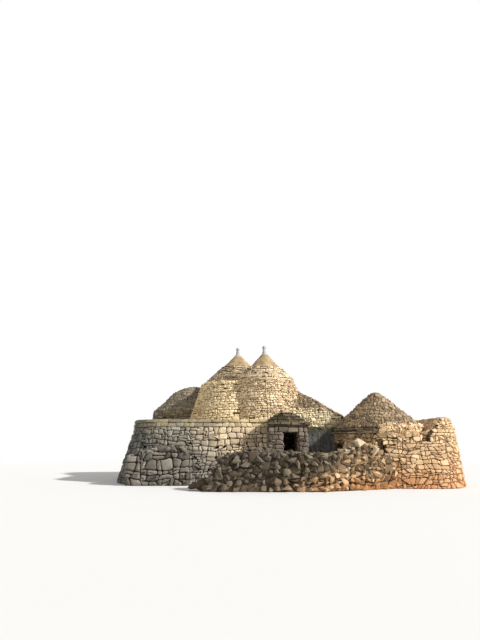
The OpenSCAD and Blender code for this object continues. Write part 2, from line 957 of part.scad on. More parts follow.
module fallen_stones() {
    color(grey_stone)
        difference() {
            union() {
                boulder([yard_left_x - 0.37 * boulder_l, -yard_front + 0.63 * boulder_l],
                        boulder_l * [1, 0.8, 0.67], 20, 8);
                boulder([yard_left_x - 0.93 * boulder_l, -yard_front + 0.87 * boulder_l],
                        boulder_l * [0.73, 0.63, 0.5], -25, 12);
                boulder([yard_left_x - 0.43 * boulder_l, -yard_front + 1.2 * boulder_l],
                        boulder_l * [0.7, 0.6, 0.45], 55, 5);
            }
            block([yard_left_x - skin, -far, 0], [far, far, far]);
        }
}

left_wall();
front_wall();
back_wall_left();
back_wall_right();
rear_side_wall();
cross_wall_left();
cross_wall_right();
left_room_wall();
alcove_wall();
alcove_vault();
annex_base();
annex_wall();
annex_roof();
facade_wall();
porch_left_pier();
porch_right_pier();
door_lintels();
porch_cornice();
porch_hood();
terrace_left();
terrace_rear();
terrace_front();
capping_slabs();
stone_floors();
front_drum();
front_cone();
front_cap();
front_pinnacle();
rear_drum();
rear_haunch();
rear_cone();
rear_cap();
rear_pinnacle();
left_drum();
left_dome();
right_front_wall();
right_end_wall();
right_back_wall();
right_yard_wall();
right_end_crest();
right_eave_slabs();
right_cone();
left_buttress();
yard_wall();
fallen_stones();
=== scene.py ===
"""Looks of the dry-stone trullo house, laid stone by stone around its solids. Metres, Z up."""

import bisect
import math
import random

import bmesh
import bpy
from mathutils import Matrix, Vector, noise


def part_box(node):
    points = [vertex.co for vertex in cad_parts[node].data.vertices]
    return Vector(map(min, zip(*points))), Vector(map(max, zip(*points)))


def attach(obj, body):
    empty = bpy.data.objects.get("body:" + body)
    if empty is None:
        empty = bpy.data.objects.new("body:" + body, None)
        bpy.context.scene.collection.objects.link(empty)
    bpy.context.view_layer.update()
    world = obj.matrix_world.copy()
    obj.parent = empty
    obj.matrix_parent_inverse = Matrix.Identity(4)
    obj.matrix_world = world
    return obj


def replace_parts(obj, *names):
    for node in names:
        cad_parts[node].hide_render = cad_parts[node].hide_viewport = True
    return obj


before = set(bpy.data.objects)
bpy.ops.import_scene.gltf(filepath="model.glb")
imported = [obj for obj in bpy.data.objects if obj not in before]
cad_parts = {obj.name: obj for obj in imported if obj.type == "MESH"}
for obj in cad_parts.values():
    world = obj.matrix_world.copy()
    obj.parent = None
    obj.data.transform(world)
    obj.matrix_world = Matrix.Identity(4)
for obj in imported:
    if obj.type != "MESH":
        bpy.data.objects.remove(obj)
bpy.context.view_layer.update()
noise.seed_set(5)  # without a seed, Blender's noise takes one from the clock

# Slot names
WARM, GREY, PALE, YARD, LOOSE = "warm_limestone", "grey_limestone", "pale_slabs", "yard_rubble", "red_rubble"

# Heights and places shared by the walls
FULL_TURN = 2 * math.pi
QUARTER = math.pi / 2
WALL_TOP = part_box("front_wall")[1].z
BASE_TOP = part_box("terrace_front")[1].z
EAVE_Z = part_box("front_drum")[1].z
PORCH_LEFT, PORCH_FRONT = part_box("porch_left_pier")[0].xy
PORCH_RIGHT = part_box("porch_right_pier")[1].x
ROOM_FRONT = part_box("front_wall")[1].y
DOOR_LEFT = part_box("porch_left_pier")[1].x
DOOR_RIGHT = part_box("porch_right_pier")[0].x
DOOR_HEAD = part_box("door_lintels")[0].z
ANNEX_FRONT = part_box("annex_wall")[0].y
ANNEX_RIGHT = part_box("annex_wall")[1].x
ANNEX_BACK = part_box("annex_roof")[1].y
FACADE_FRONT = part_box("facade_wall")[0].y
FACADE_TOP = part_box("facade_wall")[1].z
FACADE_LEFT, FACADE_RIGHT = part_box("facade_wall")[0].x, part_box("facade_wall")[1].x
RIGHT_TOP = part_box("right_front_wall")[1].z
YARD_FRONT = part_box("yard_wall")[0].y
YARD_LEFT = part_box("yard_wall")[0].x


def middle(node):
    """Plan middle of a round node."""
    low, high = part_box(node)
    return Vector(((low.x + high.x) / 2, (low.y + high.y) / 2))


FRONT_AXIS = middle("front_pinnacle")
REAR_AXIS = middle("rear_pinnacle")
RIGHT_AXIS = middle("right_cone")
HAUNCH_AXIS = Vector((REAR_AXIS.x, 0.8))
LEFT_AXIS = Vector((-4.125, 2.725))


# Shader graphs written as Python expressions

class Flow:
    """A number or colour that flows through a finish."""

    def __init__(self, finish, socket):
        self.finish = finish
        self.socket = socket

    def _math(self, operation, first, second):
        return self.finish.add("Math", {"operation": operation}, {0: first, 1: second})

    def __add__(self, other):
        return self._math("ADD", self, other)

    def __sub__(self, other):
        return self._math("SUBTRACT", self, other)

    def __mul__(self, other):
        return self._math("MULTIPLY", self, other)

    __radd__ = __add__

    def between(self, low, high):
        """0 at low, 1 at high, with soft ends."""
        return self.finish.add("MapRange", {"interpolation_type": "SMOOTHSTEP"},
                               {"Value": self, "From Min": low, "From Max": high})


class Finish:
    """A material whose nodes are added one call at a time."""

    def __init__(self, name):
        self.material = bpy.data.materials.new(name)
        self.material.use_nodes = True
        self.tree = self.material.node_tree
        self.shader = self.tree.nodes["Principled BSDF"]
        self.place = self.add("TexCoord", out="Object")

    def add(self, kind, settings=None, inputs=None, out=0):
        node = self.tree.nodes.new("ShaderNode" + kind)
        for key, value in (settings or {}).items():
            if key == "stops":
                self._set_stops(node.color_ramp, value)
            else:
                setattr(node, key, value)
        for key, value in (inputs or {}).items():
            self.feed(node.inputs[key], value)
        return Flow(self, node.outputs[out])

    def _set_stops(self, ramp, stops):
        for position, colour in stops[1:-1]:
            ramp.elements.new(position).color = (*colour, 1)
        for element, (position, colour) in ((ramp.elements[0], stops[0]), (ramp.elements[-1], stops[-1])):
            element.position = position
            element.color = (*colour, 1)

    def feed(self, socket, value):
        if isinstance(value, Flow):
            self.tree.links.new(value.socket, socket)
        elif socket.type == "RGBA" and len(value) == 3:
            socket.default_value = (*value, 1)
        else:
            socket.default_value = value

    def mixed(self, amount, first, second, blend="MIX"):
        node = self.tree.nodes.new("ShaderNodeMix")
        node.data_type = "RGBA"
        node.blend_type = blend
        self.feed(node.inputs[0], amount)
        self.feed(node.inputs[6], first)
        self.feed(node.inputs[7], second)
        return Flow(self, node.outputs[2])

    def cloudy(self, scale, detail=4.0, rough=0.55, place=None):
        return self.add("TexNoise", None, {"Vector": place or self.place, "Scale": scale, "Detail": detail,
                                           "Roughness": rough})

    def stretched(self, *scale):
        return self.add("Mapping", None, {"Vector": self.place, "Scale": scale})

    def cells(self, feature, place, scale, out="Distance"):
        return self.add("TexVoronoi", {"feature": feature}, {"Vector": place, "Scale": scale}, out)

    def tone(self):
        """The value that each stone carries, or the height up a mortar cap."""
        return self.add("Attribute", {"attribute_name": "tone"}, None, "Fac")

    def ramp(self, shade, *stops):
        return self.add("ValToRGB", {"stops": stops}, {0: shade}, "Color")

    def height(self):
        return self.add("SeparateXYZ", None, {0: self.place}, "Z")

    def across(self):
        return self.add("SeparateXYZ", None, {0: self.place}, "X")

    def stained(self, colour, where, low, high, amount, stain):
        """The colour with a stain over it, where a cloud rises from a low level to a high one."""
        return self.mixed(where.between(low, high) * amount, colour, stain)

    def close(self, colour, roughness, relief, relief_height):
        bump = self.add("Bump", None, {"Height": relief, "Strength": 0.9, "Distance": relief_height},
                        "Normal")
        self.feed(self.shader.inputs["Base Color"], colour)
        self.feed(self.shader.inputs["Roughness"], roughness)
        self.feed(self.shader.inputs["Normal"], bump)
        self.shader.inputs["Specular IOR Level"].default_value = 0.25
        return self.material


OCHRE_LICHEN = (0.5, 0.37, 0.1)
WHITE_LICHEN = (0.62, 0.6, 0.54)
BLACK_LICHEN = (0.055, 0.05, 0.042)
RED_SOIL = (0.54, 0.205, 0.055)
MOSS = (0.07, 0.075, 0.022)
# painted shade: a cool grey multiplied into the stone where shade falls
PAINTED_SHADE_GREY = (0.36, 0.42, 0.53)
OLD_LIME = (0.5, 0.48, 0.43)


def limestone(name, pale, body, dark, ochre=0.0, black=0.35, soil_top=0.0, moss=0.0, grey=()):
    """Weathered limestone: a tone for each stone, blotches, lichens and soil splashed on the foot, and bands
    of painted shade that grey and darken it.
    """
    finish = Finish(name)
    tone = finish.tone()
    broad = finish.cloudy(0.9, 3)
    blotch = finish.cloudy(7, 6, 0.65)
    grain = finish.cloudy(46, 8, 0.7)
    shade = tone * 0.46 + broad * 0.3 + blotch * 0.34 + grain * 0.22 - 0.12
    colour = finish.ramp(shade, (0.12, dark), (0.42, body), (0.8, pale))
    # painted shade: each band multiplies the colour by the shade grey, from start to end across the wall,
    # sloped with height
    for slope, start, end, amount in grey:
        where = finish.across() + finish.height() * slope + broad * 2.0
        greyed = finish.mixed(1.0, colour, PAINTED_SHADE_GREY, "MULTIPLY")
        colour = finish.stained(colour, where, start, end, amount, greyed)
    if black:
        spots = finish.cloudy(3.1, 5, 0.6) * 0.6 + grain * 0.4
        colour = finish.stained(colour, spots, 0.62 - 0.22 * black, 0.72, 0.75 * black + 0.1, BLACK_LICHEN)
    colour = finish.stained(colour, finish.cloudy(11, 4, 0.6), 0.6, 0.7, 0.35, WHITE_LICHEN)
    if ochre:
        patches = finish.cloudy(1.7, 6, 0.7) + broad * 0.3
        colour = finish.stained(colour, patches, 0.6, 0.8, ochre, OCHRE_LICHEN)
    if moss:
        colour = finish.stained(colour, finish.cloudy(2.4, 6, 0.7), 0.5, 0.66, moss, MOSS)
    if soil_top:
        splash = finish.height() + blotch * 1.1 + broad * 0.4 + tone * 0.5
        redder = finish.across().between(-1.0, 3.0) * 0.8 + 0.06
        colour = finish.stained(colour, splash, soil_top + 0.35, 0.4, redder, RED_SOIL)
    pits = finish.cells("F1", finish.place, 34)
    return finish.close(colour, 0.8 + grain * 0.18, blotch * 0.55 + grain * 0.5 + pits * 0.35, 0.03)


def shaded_core(name, dark, light):
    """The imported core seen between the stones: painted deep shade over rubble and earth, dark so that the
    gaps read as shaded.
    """
    finish = Finish(name)
    chips = finish.cells("F1", finish.place, 14)
    fleck = finish.cloudy(30, 6, 0.7)
    colour = finish.ramp(chips * 0.7 + fleck * 0.5, (0.3, dark), (0.85, light))
    return finish.close(colour, 0.92, chips + fleck * 0.6, 0.04)


def laid_masonry(name, pale, dark, scale=1.0):
    """Inner walls and soffits: irregular stones with narrow joints, without their own meshes."""
    finish = Finish(name)
    wander = finish.cloudy(2.0, 3)
    flattened = finish.stretched(3.6 * scale, 3.6 * scale, 6.5 * scale)
    cell_tone = finish.add("SeparateColor", None, {0: finish.cells("F1", flattened, 1.0, "Color")}, "Red")
    grain = finish.cloudy(40, 7, 0.7)
    colour = finish.ramp(cell_tone * 0.5 + grain * 0.35 + wander * 0.25, (0.2, dark), (0.85, pale))
    gap = finish.cells("DISTANCE_TO_EDGE", flattened, 1.0).between(0.0, 0.09)
    colour = finish.mixed(gap, tuple(0.35 * c for c in dark), colour)
    return finish.close(colour, 0.88, gap * 1.2 + grain * 0.3, 0.03)


def mortar_render(name, pale, brown):
    """Lime and earth mortar over the top of a cone, smoothed by hand and weathered in streaks."""
    finish = Finish(name)
    streak = finish.cloudy(1.0, 5.0, 0.6, finish.stretched(6.0, 6.0, 1.6))
    blotch = finish.cloudy(2.6, 6, 0.6)
    grain = finish.cloudy(60, 6, 0.7)
    colour = finish.ramp(blotch * 0.55 + streak * 0.35 + grain * 0.14, (0.34, brown), (0.68, pale))
    black = finish.cloudy(5.0, 6, 0.7) + grain * 0.15
    colour = finish.stained(colour, black, 0.58, 0.7, 0.45, BLACK_LICHEN)
    colour = finish.stained(colour, finish.tone() + blotch * 0.22, 0.93, 1.1, 0.75, OLD_LIME)
    return finish.close(colour, 0.86, blotch * 0.6 + streak * 0.4 + grain * 0.3, 0.02)


def old_plaster(name):
    """Grey lime plaster gone rough and patchy, streaked by water from the ledge above, and kept very dark as
    painted shade.
    """
    finish = Finish(name)
    streak = finish.cloudy(1.0, 6.0, 0.65, finish.stretched(11.0, 11.0, 1.5))
    broad = finish.cloudy(2.2, 6, 0.65)
    fine = finish.cloudy(22, 8, 0.7)
    lumps = finish.cells("SMOOTH_F1", finish.place, 6.5)
    # painted shade: the ramp runs from near black to a dark grey
    colour = finish.ramp(streak * 0.62 + broad * 0.28 + fine * 0.2, (0.38, (0.034, 0.033, 0.032)),
                         (0.55, (0.1, 0.096, 0.092)), (0.72, (0.24, 0.228, 0.212)))
    bare = finish.cloudy(3.0, 5, 0.6).between(0.58, 0.66)
    colour = finish.mixed(bare * 0.6, colour, (0.24, 0.19, 0.13))
    damp = finish.height() + fine * 0.35
    colour = finish.stained(colour, damp, FACADE_TOP - 0.2, FACADE_TOP + 0.2, 0.7, MOSS)
    return finish.close(colour, 0.9, fine * 0.4 + lumps * 0.9 + streak * 0.3 - bare * 0.3, 0.05)


def limewash(name):
    finish = Finish(name)
    fine = finish.cloudy(30, 7, 0.7)
    blotch = finish.cloudy(9, 5, 0.6)
    colour = finish.ramp(blotch * 0.6 + fine * 0.4, (0.3, (0.24, 0.22, 0.19)), (0.58, (0.53, 0.53, 0.51)))
    return finish.close(colour, 0.8, fine + blotch, 0.012)


CREAM = limestone("cream_limestone", (0.97, 0.81, 0.53), (0.86, 0.67, 0.39), (0.34, 0.235, 0.125),
                  ochre=0.16, black=0.15)
DRUM_STONE = limestone("drum_limestone", (0.97, 0.79, 0.52), (0.72, 0.54, 0.325), (0.16, 0.108, 0.062),
                       ochre=0.08, black=0.45)
# painted shade: the left dome's stone is kept darker and greyer than the other roofs
LEFT_STONE = limestone("left_dome_limestone", (0.4, 0.34, 0.25), (0.205, 0.173, 0.124),
                       (0.052, 0.044, 0.033), ochre=0.1, black=0.6)
ROOF_STONE = limestone("roof_limestone", (0.94, 0.75, 0.5), (0.6, 0.45, 0.28), (0.13, 0.09, 0.055),
                       ochre=0.06, black=0.5)
# painted shade: a darker copy of the roof stone for the rear cone
REAR_ROOF_STONE = limestone("rear_roof_limestone", (0.86, 0.68, 0.45), (0.47, 0.35, 0.215),
                            (0.11, 0.077, 0.047), black=0.6)
# painted shade: a darker copy of the roof stone for the right cone
RIGHT_ROOF_STONE = limestone("right_roof_limestone", (0.54, 0.395, 0.24), (0.225, 0.158, 0.093),
                             (0.058, 0.041, 0.027), black=0.5)
# painted shade: dark grey stone for the buttress and the back of the annex base
GREY_BLOCK = limestone("grey_blocks", (0.3, 0.265, 0.22), (0.12, 0.107, 0.089), (0.036, 0.032, 0.027),
                       ochre=0.05, black=0.5)
# painted shade greys and darkens the left end of the base walls
BASE_BLOCK = limestone("base_blocks", (0.94, 0.76, 0.52), (0.58, 0.442, 0.287), (0.13, 0.094, 0.061),
                       ochre=0.1, black=0.4, grey=((1.1, 1.2, -1.2, 0.92), (1.1, -1.2, -3.2, 0.7)))
ANNEX_STONE = limestone("annex_limestone", (0.98, 0.87, 0.6), (0.93, 0.765, 0.48), (0.38, 0.275, 0.155),
                        ochre=0.1, black=0.2)
RUBBLE = limestone("terrace_rubble", (0.92, 0.68, 0.42), (0.62, 0.425, 0.24), (0.16, 0.096, 0.05),
                   ochre=0.1, black=0.3, soil_top=2.1)
# painted shade greys and darkens the yard wall's left end, further along at its top
HEAP_STONE = limestone("tumbled_stone", (0.86, 0.6, 0.33), (0.42, 0.27, 0.135), (0.058, 0.036, 0.02),
                       ochre=0.08, black=0.4, soil_top=1.5,
                       grey=((-1.5, 2.2, 0.4, 0.95), (-1.5, 1.2, -1.0, 0.75)))
PALE_BOULDER = limestone("pale_boulder", (0.82, 0.68, 0.48), (0.56, 0.44, 0.29), (0.2, 0.145, 0.09),
                         black=0.4)
# painted shade: dark stones behind the boulders so the gaps between them read as shaded, greyed further at
# the left end
PACKED_STONE = limestone("packed_stone", (0.36, 0.23, 0.12), (0.13, 0.082, 0.042), (0.026, 0.017, 0.01),
                         black=0.6, soil_top=1.3, grey=((-1.5, 2.2, 0.4, 0.95),))
# painted shade greys and darkens the capping slabs at the left end
SLAB = limestone("capping_slab", (0.88, 0.7, 0.42), (0.56, 0.425, 0.235), (0.16, 0.114, 0.062), ochre=0.25,
                 black=0.4, grey=((0.0, -0.8, -2.8, 0.9), (0.0, -3.0, -5.0, 0.5)))
EAVE_SLAB = limestone("eave_slab", (0.58, 0.455, 0.31), (0.27, 0.2, 0.128), (0.07, 0.05, 0.032), black=0.5)
# painted shade: the porch stone is darkened
PORCH_STONE = limestone("porch_blocks", (0.32, 0.26, 0.195), (0.135, 0.109, 0.08), (0.036, 0.029, 0.022),
                        ochre=0.1, black=0.5)
# real moss stains over painted shade: dark slabs for the hood, cornice, facade top and annex roof bedding
MOSSY_SHADED_SLAB = limestone("mossy_shaded_slab", (0.25, 0.19, 0.125), (0.105, 0.079, 0.048), (0.028, 0.022, 0.014),
                       ochre=0.12, black=0.45, moss=0.5)
LOOSE_RED = limestone("loose_roof_rubble", (0.7, 0.53, 0.34), (0.3, 0.206, 0.122), (0.055, 0.036, 0.021),
                      black=0.5)
LOOSE_PALE = limestone("loose_pale_rubble", (0.95, 0.78, 0.54), (0.62, 0.47, 0.3), (0.14, 0.098, 0.06),
                       black=0.35)
# painted shade: dark cores darken every gap between the laid stones
CORE = shaded_core("wall_core", (0.01, 0.008, 0.006), (0.07, 0.052, 0.034))
PALE_CORE = shaded_core("drum_core", (0.034, 0.024, 0.014), (0.18, 0.126, 0.07))
INNER_STONE = laid_masonry("inner_masonry", (0.52, 0.47, 0.38), (0.2, 0.175, 0.14))
FLOOR_STONE = laid_masonry("floor_flags", (0.5, 0.46, 0.39), (0.28, 0.25, 0.2), 0.5)
RED_CORE = shaded_core("right_core", (0.04, 0.025, 0.013), (0.2, 0.122, 0.062))
CAP_MORTAR = mortar_render("cone_mortar", (0.6, 0.445, 0.245), (0.22, 0.145, 0.07))
LIME = limewash("pinnacle_limewash")
PLASTER = old_plaster("facade_plaster")


# Laying stones: a flat bed (u along the wall, v up it, w out of it) is cut into stones and wrapped on it

ON_CUT = 1e-5  # a corner this close to a cut lies on it
CHIP = 0.018  # corners closer than this are joined round an opening


def layer(bm, name):
    return bm.verts.layers.float.get(name) or bm.verts.layers.float.new(name)


class Bed:
    """A flat bed of stones that share their corners: u along the wall, v up it."""

    def __init__(self):
        self.corners = []
        self.stones = []
        self.rows = []

    def sheet(self, u, v, width, height, row=0):
        """Adds one uncut stone with its lower left corner at u, v."""
        first = len(self.corners)
        for x, y in ((u, v), (u + width, v), (u + width, v + height), (u, v + height)):
            self.corners.append(Vector((x, y)))
        self.stones.append(list(range(first, first + 4)))
        self.rows.append(row)
        return len(self.stones) - 1

    def middle(self, number):
        ring = self.stones[number]
        return sum((self.corners[i] for i in ring), Vector((0, 0))) / len(ring)

    def new_corner(self, here, after, share):
        """A corner on the edge between two others, which the stone beyond that edge gets too."""
        made = len(self.corners)
        self.corners.append(self.corners[here].lerp(self.corners[after], share))
        for ring in self.stones:
            if after in ring and here in ring:
                k = ring.index(after)
                if ring[(k + 1) % len(ring)] == here:
                    ring.insert(k + 1, made)
        return made

    def split(self, number, at, across):
        """Cuts a stone in two: the part behind the cut, or None, and the part ahead of it."""
        ring = list(self.stones[number])
        sides = [(self.corners[i] - Vector(at)).dot(Vector(across)) for i in ring]
        if min(sides) > -ON_CUT or max(sides) < ON_CUT:
            return None, number
        behind, ahead = [], []
        for k, here in enumerate(ring):
            after = (k + 1) % len(ring)
            if sides[k] < ON_CUT:
                behind.append(here)
            if sides[k] > -ON_CUT:
                ahead.append(here)
            if min(sides[k], sides[after]) <= -ON_CUT and max(sides[k], sides[after]) >= ON_CUT:
                made = self.new_corner(here, ring[after], sides[k] / (sides[k] - sides[after]))
                behind.append(made)
                ahead.append(made)
        self.stones[number] = ahead
        self.stones.append(behind)
        self.rows.append(self.rows[number])
        return len(self.stones) - 1, number

    def merge(self, reach, width=math.inf, height=math.inf):
        """Joins corners closer than reach, onto those of the rim first, and drops crushed stones."""
        def inside(i):
            at = self.corners[i]
            return min(at.x, at.y, width - at.x, height - at.y) > ON_CUT
        cells, joined = {}, {}
        for i in sorted(range(len(self.corners)), key=inside):
            at = self.corners[i]
            cell = (math.floor(at.x / reach), math.floor(at.y / reach))
            around = [cells.get((cell[0] + x, cell[1] + y), ()) for x in (-1, 0, 1) for y in (-1, 0, 1)]
            near = [j for found in around for j in found if (self.corners[j] - at).length < reach]
            joined[i] = near[0] if near else i
            if not near:
                cells.setdefault(cell, []).append(i)
        kept = []
        for ring, row in zip(self.stones, self.rows):
            ring = list(dict.fromkeys(joined[i] for i in ring))
            if len(ring) > 2:
                kept.append((ring, row))
        self.stones = [ring for ring, _ in kept]
        self.rows = [row for _, row in kept]

    def cut_course(self, number, stone, rng, slant=0.06):
        """Cuts one course into stones of about the given length."""
        us = [self.corners[i].x for i in self.stones[number]]
        level = self.middle(number).y
        u = min(us) + stone * rng.uniform(0.5, 1.2)
        while u < max(us) - 0.45 * stone:
            lean = rng.uniform(-slant, slant)
            number = self.split(number, (u, level), (math.cos(lean), math.sin(lean)))[1]
            u += stone * rng.uniform(0.55, 1.5)

    def cut_borders(self, left, right, low, high):
        """Cuts the stones along the four borders of an opening."""
        upright, level = (1, 0), (0, 1)
        for at, across in (((left, low), upright), ((right, low), upright), ((left, low), level),
                           ((left, high), level)):
            for number in range(len(self.stones)):
                us = [self.corners[i].x for i in self.stones[number]]
                vs = [self.corners[i].y for i in self.stones[number]]
                if max(us) > left and min(us) < right and max(vs) > low and min(vs) < high:
                    self.split(number, at, across)
        self.merge(CHIP)


def rustic_bed(width, height, course, stone, rng, wander=0.22, slant=0.3, split=0.15, wave=0.3, panel=2.4):
    """Rough courses of polygonal stones that share their joints, in panels whose courses don't meet."""
    bed = Bed()
    rest = bed.sheet(0, 0, width, height)
    panels = []
    u = panel * rng.uniform(0.4, 1.0)
    while u < width - 0.4 * panel:
        lean = rng.uniform(-0.3, 0.3) * min(1.0, panel / height)
        done, rest = bed.split(rest, (u, height / 2), (math.cos(lean), math.sin(lean)))
        if done is not None:
            panels.append(done)
        u += panel * rng.uniform(0.6, 1.4)
    for part in panels + [rest]:
        rows = []
        v = course * rng.uniform(0.75, 1.2)
        middle_u = bed.middle(part).x
        while v < height - 0.5 * course:
            tip = rng.uniform(-0.3, 0.3) * course / panel
            done, part = bed.split(part, (middle_u, v), (-tip, 1))
            rows.append(done)
            v += course * rng.uniform(0.7, 1.35)
        for row in rows + [part]:
            if row is not None:
                bed.cut_course(row, stone, rng, slant)
    for number in range(len(bed.stones)):
        if rng.random() < split:
            lean = rng.uniform(-0.4, 0.4)
            bed.split(number, bed.middle(number), (math.sin(lean), math.cos(lean)))
    bed.merge(0.22 * course, width, height)
    linked = {}
    for ring in bed.stones:
        for k, here in enumerate(ring):
            linked.setdefault(here, []).extend((ring[k - 1], ring[(k + 1) % len(ring)]))
    drift = Vector((rng.uniform(0, 90), rng.uniform(0, 90), 0))
    for here in sorted(linked):
        at = bed.corners[here]
        reach = min([wander * course] + [0.3 * (bed.corners[i] - at).length for i in linked[here]])
        flow = noise.noise_vector(Vector((at.x / (3.5 * stone), at.y / (3.5 * course), 0)) + drift)
        edge_u = min(at.x, width - at.x)
        edge_v = min(at.y, height - at.y)
        if edge_u > 1e-4:
            at.x += rng.uniform(-reach, reach) + wave * course * flow.x * min(1, edge_u / stone)
        if edge_v > 1e-4:
            at.y += rng.uniform(-reach, reach) + wave * course * flow.y * min(1, edge_v / course)
    return bed


def lay(bed, wrap, rng, hidden=None, joint=0.014, proud=0.03, sink=0.05, soft=0.02, swell=0.014, pillow=0,
        corners=12, tilt=0.0, uneven=0.06, roughness=0.004, longest=42):
    """Makes separate stones with uneven fronts from a cut bed and wraps them on their wall."""
    bm = bmesh.new()
    mark = layer(bm, "stone")
    tone = layer(bm, "tone")
    drawn = []
    for number, ring in enumerate(bed.stones):
        drawn.append((rng.betavariate(1.7, 1.7), proud * rng.uniform(0.25, 1.45),
                      rng.uniform(-uneven, uneven), tilt + rng.uniform(-uneven, uneven)))
        mid = bed.middle(number)
        if hidden and hidden(wrap(mid.x, mid.y, 0, bed.rows[number])):
            continue
        verts = [bm.verts.new((*bed.corners[i], -sink)) for i in ring]
        for vert in verts:
            vert[mark] = number
        bm.faces.new(verts)
    bm.normal_update()
    rims = bmesh.ops.inset_individual(bm, faces=bm.faces[:], thickness=joint / 2, use_even_offset=True)
    slivers = [face for face in bm.faces if face.calc_perimeter() ** 2 > longest * face.calc_area()]
    bmesh.ops.delete(bm, geom=list(dict.fromkeys(rims["faces"] + slivers)), context="FACES")
    if corners:
        bmesh.ops.bevel(bm, geom=bm.verts[:], offset=corners, offset_type="PERCENT", affect="VERTICES",
                        segments=1, profile=0.5, material=-1)
    for vert in bm.verts:
        vert[tone] = drawn[round(vert[mark])][0]
    fronts = bmesh.ops.extrude_discrete_faces(bm, faces=bm.faces[:])["faces"]
    for face in fronts:
        out, lean_u, lean_v = drawn[round(face.verts[0][mark])][1:]
        centre = face.calc_center_median()
        for vert in face.verts:
            vert.co.z = out + lean_u * (vert.co.x - centre.x) + lean_v * (vert.co.y - centre.y)
    bmesh.ops.holes_fill(bm, edges=[edge for edge in bm.edges if edge.is_boundary], sides=0)
    bmesh.ops.inset_individual(bm, faces=fronts, thickness=soft, depth=swell)
    if pillow:
        bmesh.ops.inset_individual(bm, faces=fronts, thickness=pillow, depth=0.4 * swell)
    shift = Vector((rng.uniform(0, 50), rng.uniform(0, 50), 0))
    for vert in bm.verts:
        place = wrap(vert.co.x, vert.co.y, vert.co.z, bed.rows[round(vert[mark])])
        vert.co = place + noise.noise_vector(place * 8 + shift) * roughness
    bmesh.ops.recalc_face_normals(bm, faces=bm.faces[:])
    return bm


def piece(bm, name, material, crisp=40):
    """A mesh object in place that moves with the house."""
    mark = bm.verts.layers.float.get("stone")
    if mark:
        bm.verts.layers.float.remove(mark)
    mesh = bpy.data.meshes.new(name)
    bm.to_mesh(mesh)
    bm.free()
    mesh.materials.append(material)
    mesh.shade_smooth()
    mesh.set_sharp_from_angle(angle=math.radians(crisp))
    obj = bpy.data.objects.new(name, mesh)
    bpy.context.scene.collection.objects.link(obj)
    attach(obj, "root")
    return obj


def clad(name, material, seed, wall, size, bed, look, hidden=None, slot=WARM, **changes):
    """Covers a wall with rough stones. size holds the bed's width and height, and its course and stone."""
    rng = random.Random(seed)
    cut = rustic_bed(*size, rng, **bed)
    piece(lay(cut, wall, rng, hidden, **{**look, **changes}), name, material)


class Turned:
    """A round wall: a profile of radius and height turned about an upright axis."""

    def __init__(self, axis, profile):
        self.axis = axis
        self.points = [Vector(point) for point in profile]
        self.runs = [0.0]
        for low, high in zip(self.points, self.points[1:]):
            self.runs.append(self.runs[-1] + (high - low).length)

    def profile(self, v, w=0.0):
        """Radius and height at v up the wall and w out of it."""
        i = max(k for k in range(len(self.points) - 1) if k == 0 or self.runs[k] <= v)
        along = (self.points[i + 1] - self.points[i]).normalized()
        return self.points[i] + along * (v - self.runs[i]) + Vector((along.y, -along.x)) * w

    def at(self, angle, v, w):
        radius, height = self.profile(v, w)
        return Vector((self.axis.x + radius * math.cos(angle), self.axis.y + radius * math.sin(angle),
                       height))

    def radius_at(self, height):
        """Radius of the profile at a height above the ground."""
        for low, high in zip(self.points, self.points[1:]):
            if height <= high.y:
                return low.x + (high.x - low.x) * (height - low.y) / max(high.y - low.y, 1e-6)
        return 0.0

    def holds(self, point, grow=0.0):
        """True if the point is inside the wall's outer face."""
        if not self.points[0].y - 0.02 <= point.z <= self.points[-1].y + 0.02:
            return False
        return (point.xy - self.axis).length < self.radius_at(point.z) + grow

    def courses(self, course, stone, rng, hidden=None, uneven_rows=0.15, **look):
        """Courses of stones all the way round, each course cut afresh."""
        count = max(1, round(self.runs[-1] / course))
        step = self.runs[-1] / count
        levels = [step * (i + (rng.uniform(-uneven_rows, uneven_rows) if 0 < i < count else 0))
                  for i in range(count + 1)]
        bed = Bed()
        radii, starts = [], []
        for i in range(count):
            radii.append(max(self.profile((levels[i] + levels[i + 1]) / 2).x, 0.05))
            starts.append(rng.uniform(0, 1))
            width = radii[i] * FULL_TURN
            whole = bed.sheet(0, levels[i], width, levels[i + 1] - levels[i], i)
            bed.cut_course(whole, min(stone, width / 5), rng, 0.1)

        def wrap(u, v, w, row):
            return self.at(starts[row] + u / radii[row], v, w)
        return lay(bed, wrap, rng, hidden, **look)

    def rustic(self, course, stone, rng, hidden, bed, **look):
        """Rough stones all the way round, with the seam of the bed at the back."""
        radius = (self.points[0].x + self.points[-1].x) / 2
        cut = rustic_bed(FULL_TURN * radius, self.runs[-1], course, stone, rng, **bed)
        return lay(cut, lambda u, v, w, row: self.at(QUARTER + u / radius, v, w), rng, hidden, **look)

    def clad(self, name, material, seed, course, stone, look, hidden=None, bed=None, slot=WARM, **changes):
        """Covers the wall with rough stones where a bed says how to cut them, or else with level courses."""
        rng = random.Random(seed)
        look = {**look, **changes}
        if bed:
            bm = self.rustic(course, stone, rng, hidden, bed, **look)
        else:
            bm = self.courses(course, stone, rng, hidden, **look)
        piece(bm, name, material)


OUTLINE_STEPS = 720


